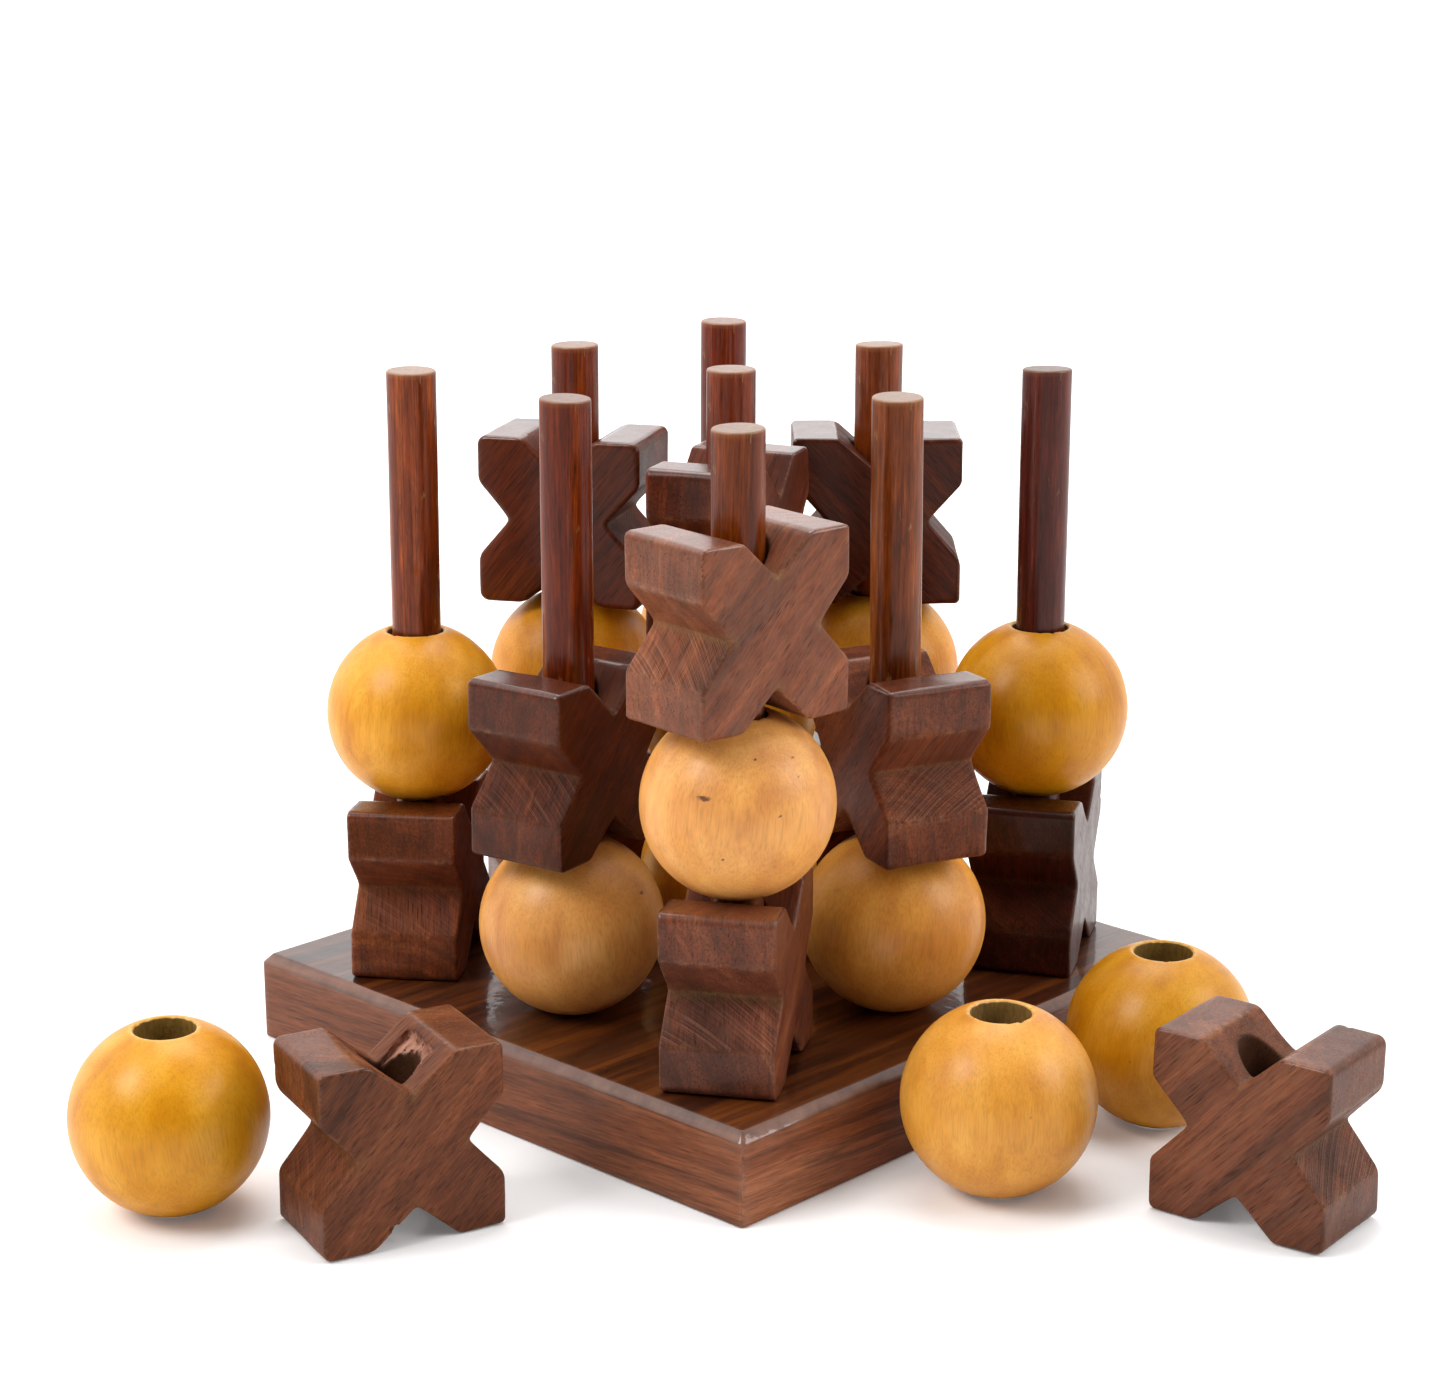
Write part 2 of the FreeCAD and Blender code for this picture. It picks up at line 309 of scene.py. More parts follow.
def x_field(p, k):
    """Signed field of one X piece in its own frame, and the planes that make it."""
    x, y, z = p[:, 0], p[:, 1], p[:, 2]
    sd = k["seed"]
    h = BS / 2 - 0.05
    wob = 0.10 * vnoise(p * 0.045, sd + 1) + 0.035 * vnoise(p * 0.16, sd + 2)
    wear = 1.0 + 0.55 * vnoise(p * 0.11, sd + 3)
    qx = np.abs(x) - h - k["skew"] * 0.004 * z * np.sign(x)
    qz = np.abs(z) - h
    rc = k["corner"] * (1 + 0.25 * vnoise(p * 0.07, sd + 4))
    box = smax(qx, qz, rc) + wob
    cut = []
    rip = 0.03 * vnoise(p * 0.2, sd + 30)
    if k["saw"] > 0:
        curl = 1.5 * vnoise(p * 0.25, sd + 50)
        fade = k["saw"] * (0.5 + 0.5 * vnoise(p * 0.13, sd + 51))
    f = box
    for i, (a, b) in enumerate(((x, z), (x, -z), (z, x), (z, -x))):
        n = NH + k["dn"][i]
        d = ND + k["dd"][i]
        v = BS / 2 - d
        s = d / n
        aa = a - k["off"][i]
        ab = np.sqrt(aa * aa + 0.35) - 0.25
        c = (b - v - s * ab) / math.sqrt(1 + s * s) + (rip if i % 2 else -rip)
        cut.append(c)
        if k["saw"] > 0:
            # blade marks: shallow curved ridges across the notch face
            w = y * 0.9 + 0.02 * (x * z) + x * (0.55 if i % 2 else -0.55)
            c = c + fade * np.sin(w * 4.1 + curl)
        f = smax(f, c, 0.85 * wear)
    yy = np.abs(y) - BT / 2 + 0.05 + 0.6 * wob
    f = smax(f, yy, k["ease"] * wear)
    bore = 6.2 + 0.6 * rip - np.hypot(x, y)
    f = smax(f, bore, 0.22)
    if k["chips"]:
        bite = 0.25 * vnoise(p * 1.6, sd + 9)
    for (cx, cy, cz, rx, ry, rz) in k["chips"]:
        e = np.sqrt(((x - cx) / rx) ** 2 + ((y - cy) / ry) ** 2 + ((z - cz) / rz) ** 2) - 1
        f = np.maximum(f, -(e * min(rx, ry, rz) + bite))
    if k["torn"]:
        # a ragged scar where fibres were torn out of one flank of the top notch, round the mouth of the bore
        g = frame_of(k["grain"])
        pg = p @ g.T
        rag = 0.9 * fbm(pg * np.array([0.9, 0.9, 0.22]), sd + 61, 2)
        rag2 = 0.5 * vnoise(pg * np.array([1.7, 1.7, 0.3]), sd + 62)
        for side, wide, deep in k["torn"]:
            t = np.maximum(np.abs(y + 0.6) - wide - 0.9 * rag, -(cut[0] + deep + 0.8 * rag + 0.7 * rag2))
            t = np.maximum(t, 1.2 - x * side)
            t = np.maximum(t, x * side - 7.6 - 0.9 * rag2)
            f = np.maximum(f, -np.maximum(t, -z))
    cons = np.stack([qx, qz, yy, bore] + cut)
    return f, cons


def make_x(node, k):
    lo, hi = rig.box(node)
    centre = np.array((lo + hi) / 2) / MM
    # the way the X face looks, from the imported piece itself
    best = {}
    for poly in frame["nodes"][node].data.polygons:
        n = poly.normal
        if abs(n.z) < 0.05:
            a = math.atan2(n.y, n.x)
            key = round(math.degrees(a) * 2) / 2
            best[key] = best.get(key, 0) + poly.area
    tops = sorted(best, key=lambda q: -best[q])[:2]
    ang = max(tops, key=lambda q: math.cos(math.radians(q) - CAM_DIR))
    V = np.array([math.cos(math.radians(ang)), math.sin(math.radians(ang)), 0])
    U = np.array([-V[1], V[0], 0])
    h = 0.9 if QUICK else 0.46
    ext = np.array([BS / 2 + 1.2, BT / 2 + 1.2, BS / 2 + 1.2])
    n = np.ceil(2 * ext / h).astype(int) + 1
    ax = [np.linspace(-ext[i], -ext[i] + h * (n[i] - 1), n[i]) for i in range(3)]
    g = np.stack(np.meshgrid(*ax, indexing="ij"), -1).reshape(-1, 3)
    f = x_rough(g)
    band = np.abs(f) < 1.6
    if k["torn"]:
        band |= (np.abs(g[:, 1]) < 9) & (g[:, 2] > BS / 2 - 12) & (np.abs(g[:, 0]) < 14)
    for c in k["chips"]:
        band |= (np.abs(g - np.array(c[:3])) < np.array(c[3:]) + 1.2).all(1)
    f[band] = x_field(g[band], k)[0]
    v, q = surface_nets(f.reshape(n), np.array([a[0] for a in ax]), h)
    for _i in range(2):
        e = 0.05
        f0, _c = x_field(v, k)
        gr = np.stack([(x_field(v + np.eye(3)[j] * e, k)[0] - f0) / e for j in range(3)], 1)
        step = -f0[:, None] * gr / np.maximum((gr * gr).sum(1), 0.25)[:, None]
        ln = np.linalg.norm(step, axis=1, keepdims=True)
        v = v + step * np.minimum(1, 0.3 * h / np.maximum(ln, 1e-9))
    _f, cons = x_field(v, k)
    srt = np.sort(cons, axis=0)
    near = srt[-2]
    edge = np.clip(1 + near / 1.5, 0, 1) ** 1.5
    which = np.argmax(cons, axis=0)
    notch = (which >= 4).astype(float)
    boref = np.clip(1 + cons[3] / 0.5, 0, 1)
    # valley of a V notch: dark, dusty
    valley = np.zeros(len(v))
    for a, b in ((v[:, 0], np.abs(v[:, 2])), (v[:, 2], np.abs(v[:, 0]))):
        valley = np.maximum(valley, np.exp(-(a / 1.3) ** 2) * np.exp(-((b - (BS / 2 - ND)) / 1.4) ** 2))
    torn = np.zeros(len(v))
    if k["torn"]:
        torn = ((np.abs(v[:, 1]) < 9) & (v[:, 2] > BS / 2 - 10) & (v[:, 0] * k["torn"][0][0] > 0.8) & (np.abs(v[:, 0]) < 9)).astype(float)
        torn *= np.clip((-cons[4] - 0.25) / 0.35, 0, 1) * np.clip((-cons[:3].max(0) - 0.2) / 0.4, 0, 1) * (1 - boref)
    world = centre + v[:, :1] * U - v[:, 1:2] * (-V) * 1.0 + v[:, 2:] * np.array([0, 0, 1.0])
    # local y points out of the X face that looks at the viewer
    wc = wood_co(v, k["grain"], k["pith"], k["along"])
    ob = new_mesh("wood_" + node, world, q, True,
                  floats={"edge": edge, "notch": notch, "bore": boref, "valley": valley * k["dust"], "torn": torn,
                          "dry": np.full(len(v), k["dry"]), "gloss": np.full(len(v), k["gloss"])},
                  vectors={"wood_co": wc, "tint": np.tile(k["tint"], (len(v), 1)), "local_co": v})
    ob.data.flip_normals() if _flipped(ob) else None
    return ob


def _flipped(ob):
    """True if the closed mesh is inside out."""
    me = ob.data
    me.calc_loop_triangles()
    t = np.empty(len(me.loop_triangles) * 3, np.int32)
    me.loop_triangles.foreach_get("vertices", t)
    co = np.empty(len(me.vertices) * 3, np.float32)
    me.vertices.foreach_get("co", co)
    c = co.reshape(-1, 3)[t.reshape(-1, 3)].astype(float)
    c = c - c.reshape(-1, 3).mean(0)
    return float(np.einsum("ij,ij->i", c[:, 0], np.cross(c[:, 1], c[:, 2])).sum()) < 0


# ------------------------------------------------------------------- balls
RB, RBORE = 20.25, 6.2


def make_ball(node, k):
    lo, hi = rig.box(node)
    c = np.array((lo + hi) / 2) / MM
    seg = 64 if QUICK else 160
    rim = 0.9
    prof = []
    # outside from the bottom rim to the top rim
    za = math.sqrt(RB ** 2 - (RBORE + rim) ** 2)
    a1 = math.asin(za / RB)
    n = 40 if QUICK else 110
    for i in range(n + 1):
        a = -a1 + 2 * a1 * i / n
        prof.append((RB * math.cos(a), RB * math.sin(a)))
    # top rim rolls into the bore
    tan = a1
    for i in range(1, 6):
        t = i / 6
        # quarter blend from the ball's surface to the bore wall
        x = (RBORE + rim) * (1 - t) ** 2 + 2 * t * (1 - t) * (RBORE + 0.15) + t * t * RBORE
        y = za * (1 - t) ** 2 + 2 * t * (1 - t) * (za + 0.22) + t * t * (za - 0.75)
        prof.append((x, y))
    m = 10 if QUICK else 22
    for i in range(m + 1):
        prof.append((RBORE, (za - 0.75) * (1 - 2 * i / m)))
    for i in range(5, 0, -1):
        t = i / 6
        x = (RBORE + rim) * (1 - t) ** 2 + 2 * t * (1 - t) * (RBORE + 0.15) + t * t * RBORE
        y = za * (1 - t) ** 2 + 2 * t * (1 - t) * (za + 0.22) + t * t * (za - 0.75)
        prof.append((x, -y))
    prof = np.array(prof)
    P = len(prof)
    th = np.arange(seg) / seg * 2 * math.pi
    r = np.repeat(prof[:, 0][None], seg, 0)
    z = np.repeat(prof[:, 1][None], seg, 0)
    t = np.repeat(th[:, None], P, 1)
    p = np.stack([r * np.cos(t), r * np.sin(t), z], -1).reshape(-1, 3)
    sd = k["seed"]
    outer = np.linalg.norm(p, axis=1) > RB - 0.6
    rr = p / np.linalg.norm(p, axis=1, keepdims=True)
    # turned, then sanded by hand: slightly out of round, never outwards at the widest
    d = 0.07 * vnoise(p * 0.07, sd) + 0.03 * vnoise(p * 0.2, sd + 1) - 0.06
    flat = np.clip((np.abs(p[:, 2]) - 17.0) / 3.0, 0, 1)
    bore = np.hypot(p[:, 0], p[:, 1]) < RBORE + 0.12
    p2 = p + rr * (d * outer)[:, None]
    # ragged rim and bore wall
    rimz = np.clip(1 - np.abs(np.hypot(p[:, 0], p[:, 1]) - RBORE - 0.45) / 0.8, 0, 1) * (np.abs(p[:, 2]) > 17)
    ch = np.clip(vnoise(p * 0.8, sd + 3) - 0.2, 0, 1) * 0.42 * rimz
    p2[:, 2] -= np.sign(p[:, 2]) * ch
    rad = np.hypot(p2[:, 0], p2[:, 1])
    rough = 0.05 * vnoise(p * np.array([1.2, 1.2, 0.35]), sd + 4) * bore
    p2[:, 0] *= 1 + rough / rad
    p2[:, 1] *= 1 + rough / rad
    i0 = np.arange(seg)[:, None] * P + np.arange(P)[None]
    a = i0
    b = np.roll(i0, -1, axis=0)
    quads = np.stack([a, b, np.roll(b, -1, axis=1), np.roll(a, -1, axis=1)], -1).reshape(-1, 4)
    yaw = k["yaw"]
    R = np.array([[math.cos(yaw), -math.sin(yaw), 0], [math.sin(yaw), math.cos(yaw), 0], [0, 0, 1]])
    wc = wood_co(p, k["grain"], k["pith"], k["along"])
    knot = np.zeros(len(p))
    world = p2 @ R.T
    for across, up, wide, tall, deep in k["knots"]:
        # places on the side that looks at the viewer, in millimetres from the ball's middle
        q = SIDE * across + RISE * up + LOOK * math.sqrt(RB * RB - across * across - up * up)
        e = ((world - q) @ SIDE / wide) ** 2 + ((world - q) @ RISE / tall) ** 2
        g = np.exp(-e) * ((world @ LOOK) > 0)
        knot = np.maximum(knot, g)
        world = world - rr @ R.T * (deep * g)[:, None]
    ob = new_mesh("ball_" + node, world + c, quads, True,
                  floats={"bore": bore.astype(float), "rim": rimz, "flat": flat, "knot": knot},
                  vectors={"wood_co": wc, "tint": np.tile(k["tint"], (len(p), 1)), "local_co": p})
    if _flipped(ob):
        ob.data.flip_normals()
    return ob


# -------------------------------------------------------------------- pegs
def make_peg(node, k):
    lo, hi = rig.box(node)
    c = np.array((lo + hi) / 2) / MM
    z0, z1 = lo.z / MM, hi.z / MM
    rp = 5.5
    seg = 32 if QUICK else 64
    prof = [(rp - 0.35, z0 + 0.02), (rp - 0.05, z0 + 0.35)]
    n = 60 if QUICK else 150
    for i in range(n + 1):
        prof.append((rp, z0 + 0.6 + (z1 - z0 - 1.2) * i / n))
    for a in (25, 50, 75):
        prof.append((rp - 0.5 + 0.5 * math.cos(math.radians(a)), z1 - 0.55 + 0.5 * math.sin(math.radians(a))))
    for f in (0.9, 0.78, 0.6, 0.4, 0.2):
        prof.append((rp * f, z1 - 0.04 + 0.02 * (1 - f)))
    prof = np.array(prof)
    P = len(prof)
    th = np.arange(seg) / seg * 2 * math.pi
    r = np.repeat(prof[:, 0][None], seg, 0)
    z = np.repeat(prof[:, 1][None], seg, 0)
    t = np.repeat(th[:, None], P, 1)
    p = np.stack([r * np.cos(t), r * np.sin(t), z], -1).reshape(-1, 3)
    sd = k["seed"]
    d = -0.05 + 0.05 * vnoise(p * np.array([0.25, 0.25, 0.03]), sd) + 0.02 * vnoise(p * np.array([0.7, 0.7, 0.08]), sd + 1)
    d = np.minimum(d, 0)
    rad = np.maximum(np.hypot(p[:, 0], p[:, 1]), 1e-6)
    p2 = p.copy()
    w = np.clip(rad / rp, 0, 1)
    p2[:, 0] *= 1 + d * w / rad
    p2[:, 1] *= 1 + d * w / rad
    # the sawn top is a little out of square
    topw = np.clip((p[:, 2] - (z1 - 3)) / 3, 0, 1)
    p2[:, 2] += topw * (k["slope"][0] * p[:, 0] + k["slope"][1] * p[:, 1] - abs(k["slope"][0]) * rp - abs(k["slope"][1]) * rp)
    for (za, ta, depth, wz, wt) in k["dents"]:
        da = np.angle(np.exp(1j * (np.arctan2(p[:, 1], p[:, 0]) - ta))) * rp
        g = np.exp(-((p[:, 2] - za) / wz) ** 2 - (da / wt) ** 2) * (rad > rp - 0.3)
        p2[:, 0] *= 1 - depth * g / rad
        p2[:, 1] *= 1 - depth * g / rad
    i0 = np.arange(seg)[:, None] * P + np.arange(P - 1)[None]
    a = i0
    b = np.roll(i0, -1, axis=0)
    quads = np.stack([a, b, b + 1, a + 1], -1).reshape(-1, 4)
    faces = [tuple(q) for q in quads]
    top, bot = len(p2), len(p2) + 1
    zt = p2[np.arange(seg) * P + P - 1, 2].mean()
    p2 = np.vstack([p2, [0, 0, zt], [0, 0, z0 + 0.02]])
    for s in range(seg):
        s2 = (s + 1) % seg
        faces.append((s * P + P - 1, s2 * P + P - 1, top))
        faces.append((s2 * P, s * P, bot))
    full = np.vstack([p, [0, 0, z1], [0, 0, z0]])
    wc = wood_co(full, (k["lean"][0], k["lean"][1], 1), k["pith"], k["along"])
    end = np.clip((full[:, 2] - (z1 - 0.5)) / 0.4, 0, 1)
    hot = np.hypot(full[:, 0], full[:, 1])
    edge = np.clip(1 - np.abs(full[:, 2] - (z1 - 0.3)) / 0.7, 0, 1) * (hot > rp - 1.2)
    # painted shade: marks the last 2 mm of the peg above the board for darkening
    foot = np.clip(1 - (full[:, 2] - T0) / 2.0, 0, 1)
    p2 = p2 + np.array([c[0], c[1], 0]) + SIDE * (k["off"] * np.maximum(p2[:, 2:] - T0, 0))
    ob = new_mesh("dowel_" + node, p2, faces, True,
                  floats={"end": end, "edge": edge, "foot": foot},
                  vectors={"wood_co": wc, "tint": np.tile(k["tint"], (len(full), 1)), "local_co": full})
    if _flipped(ob):
        ob.data.flip_normals()
    return ob


# ------------------------------------------------------------------- board
def make_board(node):
    lo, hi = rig.box(node)
    s = (hi.x - lo.x) / 2 / MM
    T = hi.z / MM
    rc = 1.4
    step = 4.0 if QUICK else 1.5
    # height and inset of each ring, from the underside to the top
    ring = [(0.0, 0.9), (0.0, 0.45), (0.14, 0.14), (0.45, 0.0), (3.0, 0.0), (6.5, 0.0), (10.0, 0.0), (13.5, 0.0),
            (T - 2.3, 0.0), (T - 2.12, 0.02), (T - 1.95, 0.12), (T - 1.4, 0.62), (T - 0.7, 1.32), (T - 0.14, 1.9),
            (T - 0.03, 2.1), (T, 2.35), (T, 2.9)]
    n_side = int((2 * s - 2 * rc) / step)
    nc = 5

    def loop(inset):
        r = max(rc - inset * 0.5, 0.4)
        e = s - inset
        pts = []
        for q, (sx, sy) in enumerate(((1, -1), (1, 1), (-1, 1), (-1, -1))):
            cx, cy = sx * (e - r), sy * (e - r)
            a0 = -math.pi / 2 + q * math.pi / 2
            for i in range(nc + 1):
                a = a0 + math.pi / 2 * i / nc
                pts.append((cx + r * math.cos(a), cy + r * math.sin(a)))
            nx, ny = ((1, 1), (-1, 1), (-1, -1), (1, -1))[q]
            a = a0 + math.pi / 2
            p0 = np.array(pts[-1])
            cx2, cy2 = nx * (e - r), ny * (e - r)
            p1 = np.array([cx2 + r * math.cos(a), cy2 + r * math.sin(a)])
            for i in range(1, n_side):
                pts.append(tuple(p0 + (p1 - p0) * i / n_side))
        return np.array(pts)

    verts, rings = [], []
    for z, inset in ring:
        L = loop(inset)
        rings.append((len(verts), len(L)))
        for q in L:
            verts.append([q[0], q[1], z])
    faces = []
    for (a, n), (b, m) in zip(rings[:-1], rings[1:]):
        for i in range(n):
            j = (i + 1) % n
            faces.append((a + i, a + j, b + j, b + i))
    # holes
    holes = [(np.array(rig.box(p)[0]) + np.array(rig.box(p)[1])) / 2 / MM for p in PEGS]
    depth = T - min(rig.box(p)[0].z for p in PEGS) / MM
    hseg = 48
    hole_top = []
    for hc in holes:
        prof = [(6.6, T), (5.95, T), (5.72, T - 0.06), (5.6, T - 0.25), (5.56, T - 1.0), (5.56, T - depth)]
        rr = []
        for r, z in prof:
            st = len(verts)
            for i in range(hseg):
                a = 2 * math.pi * i / hseg
                verts.append([hc[0] + r * math.cos(a), hc[1] + r * math.sin(a), z])
            rr.append(st)
        for a, b in zip(rr[:-1], rr[1:]):
            for i in range(hseg):
                j = (i + 1) % hseg
                faces.append((a + j, a + i, b + i, b + j))
        faces.append(tuple(rr[-1] + i for i in range(hseg)))
        hole_top.append(rr[0])
    # bottom face as one ngon
    a, n = rings[0]
    faces.append(tuple(a + i for i in reversed(range(n))))
    verts = np.array(verts)
    me = bpy.data.meshes.new("tmp")
    me.from_pydata([tuple(v) for v in verts], [], faces)
    bm = bmesh.new()
    bm.from_mesh(me)
    bm.verts.ensure_lookup_table()
    a, n = rings[-1]
    edges = []
    for i in range(n):
        edges.append(bm.edges.get((bm.verts[a + i], bm.verts[a + (i + 1) % n])))
    for st in hole_top:
        for i in range(hseg):
            edges.append(bm.edges.get((bm.verts[st + i], bm.verts[st + (i + 1) % hseg])))
    bmesh.ops.triangle_fill(bm, use_beauty=True, use_dissolve=False, edges=edges)
    bmesh.ops.recalc_face_normals(bm, faces=bm.faces)
    bm.to_mesh(me)
    bm.free()
    co = np.array([v.co[:] for v in me.vertices])
    # soft hand-sanded waviness of the arrises, never outwards
    z = co[:, 2]
    wav = 0.06 * vnoise(co * np.array([0.05, 0.05, 0.05]), 5) + 0.03 * vnoise(co * 0.2, 6) - 0.07
    out = np.abs(co[:, :2]).max(1) > s - 3.2
    nrm = np.zeros_like(co)
    big = np.argmax(np.abs(co[:, :2]), axis=1)
    nrm[np.arange(len(co)), big] = np.sign(co[np.arange(len(co)), big])
    co = co + nrm * (wav * out * (z > 0.2))[:, None]
    faces2 = [tuple(p.vertices) for p in me.polygons]
    bpy.data.meshes.remove(me)
    g = (0.02, 1.0, -0.045)
    wc = wood_co(co, g, (38.0, -64.0), 12.0)
    # mask for the painted highlight along the top chamfer and the upright corners
    arr = np.clip(1 - np.abs(np.abs(co[:, :2]).max(1) - (s - 1.0)) / 1.8, 0, 1) * (co[:, 2] > T - 3.0)
    corner = np.clip(1 - (s - np.sort(np.abs(co[:, :2]), axis=1)[:, 0]) / 2.0, 0, 1)
    ob = new_mesh("lacquered_board", co, faces2, True,
                  floats={"edge": np.maximum(arr, corner * 0.8)},
                  # painted light: the +X side of the board is lightened in value by 0.16
                  vectors={"wood_co": wc, "tint": np.where(co[:, :1] > s - 1.2, 1.0, 0.0) * np.array([[0.0, 0.0, 0.16]]), "local_co": co})
    if _flipped(ob):
        ob.data.flip_normals()
    # lipped on two sides: the wood of the two sides that face along Y runs along X
    me = ob.data
    lv = np.empty(len(me.loops), np.int32)
    me.loops.foreach_get("vertex_index", lv)
    nl = np.empty(len(me.polygons), np.int32)
    me.polygons.foreach_get("loop_total", nl)
    pn = np.empty(len(me.polygons) * 3, np.float32)
    me.polygons.foreach_get("normal", pn)
    pn = np.repeat(pn.reshape(-1, 3), nl, 0)
    side = (np.abs(pn[:, 1]) > 0.45) & (np.abs(pn[:, 1]) > np.abs(pn[:, 0]))
    wx = wood_co(co, (1.0, 0.03, 0.055), (-30.0, 52.0), 340.0)
    me.attributes.remove(me.attributes["wood_co"])
    at = me.attributes.new("wood_co", "FLOAT_VECTOR", "CORNER")
    at.data.foreach_set("vector", np.where(side[:, None], wx[lv], wc[lv]).astype(np.float32).ravel())
    return ob


# --------------------------------------------------------------- materials
class Nodes:
    def __init__(self, name):
        self.mat = bpy.data.materials.new(name)
        self.mat.use_nodes = True
        self.t = self.mat.node_tree
        self.t.nodes.clear()
        self.out = self.t.nodes.new("ShaderNodeOutputMaterial")

    def new(self, kind, **kw):
        n = self.t.nodes.new(kind)
        for k, v in kw.items():
            setattr(n, k, v)
        return n

    def link(self, a, b):
        self.t.links.new(a, b)

    def put(self, socket, value):
        if hasattr(value, "links") or isinstance(value, bpy.types.NodeSocket):
            self.link(value, socket)
        else:
            socket.default_value = value

    def attr(self, name, kind="Fac"):
        n = self.new("ShaderNodeAttribute", attribute_name=name)
        return n.outputs[kind]

    def math(self, op, a, b=0.0, c=None, clamp=False):
        n = self.new("ShaderNodeMath", operation=op)
        n.use_clamp = clamp
        self.put(n.inputs[0], a)
        self.put(n.inputs[1], b)
        if c is not None:
            self.put(n.inputs[2], c)
        return n.outputs[0]

    def vmath(self, op, a, b=None):
        n = self.new("ShaderNodeVectorMath", operation=op)
        self.put(n.inputs[0], a)
        if b is not None:
            self.put(n.inputs[1], b)
        return n.outputs["Value"] if op in ("LENGTH", "DOT_PRODUCT") else n.outputs[0]

    def scaled(self, v, s):
        return self.vmath("MULTIPLY", v, s)

    def noise(self, vec, scale=1.0, detail=2.0, rough=0.5, dist=0.0, out="Fac"):
        n = self.new("ShaderNodeTexNoise")
        n.inputs["Scale"].default_value = scale
        n.inputs["Detail"].default_value = detail
        n.inputs["Roughness"].default_value = rough
        n.inputs["Distortion"].default_value = dist
        self.link(vec, n.inputs["Vector"])
        return n.outputs[out]

    def voronoi(self, vec, scale=1.0, feature="F1", out="Distance", rand=1.0):
        n = self.new("ShaderNodeTexVoronoi", feature=feature)
        n.inputs["Scale"].default_value = scale
        n.inputs["Randomness"].default_value = rand
        self.link(vec, n.inputs["Vector"])
        return n.outputs[out]

    def ramp(self, fac, stops, interp="LINEAR"):
        n = self.new("ShaderNodeValToRGB")
        n.color_ramp.interpolation = interp
        e = n.color_ramp.elements
        while len(e) > 1:
            e.remove(e[-1])
        first = True
        for pos, col in stops:
            c = (col, col, col, 1) if isinstance(col, (int, float)) else (*col, 1)
            if first:
                e[0].position, e[0].color = pos, c
                first = False
            else:
                x = e.new(pos)
                x.color = c
        self.put(n.inputs[0], fac)
        return n.outputs[0]

    def remap(self, v, a, b, c=0.0, d=1.0, smooth=False):
        n = self.new("ShaderNodeMapRange")
        n.clamp = True
        if smooth:
            n.interpolation_type = "SMOOTHSTEP"
        self.put(n.inputs[0], v)
        for i, x in enumerate((a, b, c, d)):
            self.put(n.inputs[1 + i], x)
        return n.outputs[0]

    def mix(self, fac, a, b, mode="MIX"):
        n = self.new("ShaderNodeMix", data_type="RGBA", blend_type=mode)
        self.put(n.inputs[0], fac)
        for s, v in ((n.inputs[6], a), (n.inputs[7], b)):
            self.put(s, v if not isinstance(v, tuple) else (*v, 1))
        return n.outputs[2]

    def combine(self, x, y, z):
        n = self.new("ShaderNodeCombineXYZ")
        for s, v in zip(n.inputs, (x, y, z)):
            self.put(s, v)
        return n.outputs[0]

    def separate(self, v):
        n = self.new("ShaderNodeSeparateXYZ")
        self.link(v, n.inputs[0])
        return n.outputs

    def bump(self, h, strength, dist, normal=None):
        n = self.new("ShaderNodeBump")
        n.inputs["Strength"].default_value = strength
        n.inputs["Distance"].default_value = dist
        self.link(h, n.inputs["Height"])
        if normal is not None:
            self.link(normal, n.inputs["Normal"])
        return n.outputs[0]

    def principled(self, **kw):
        n = self.new("ShaderNodeBsdfPrincipled")
        for k, v in kw.items():
            s = n.inputs[k.replace("_", " ")]
            self.put(s, (*v, 1) if s.type == "RGBA" and isinstance(v, tuple) and len(v) == 3 else v)
        self.link(n.outputs[0], self.out.inputs[0])
        return n


def hsv_tint(N, col, tint):
    """tint: hue shift, saturation shift, value shift, each about zero."""
    s = N.separate(tint)
    n = N.new("ShaderNodeHueSaturation")
    N.link(N.math("ADD", s[0], 0.5), n.inputs["Hue"])
    N.link(N.math("ADD", s[1], 1.0), n.inputs["Saturation"])
    N.link(N.math("ADD", s[2], 1.0), n.inputs["Value"])
    N.link(col, n.inputs["Color"])
    return n.outputs[0]


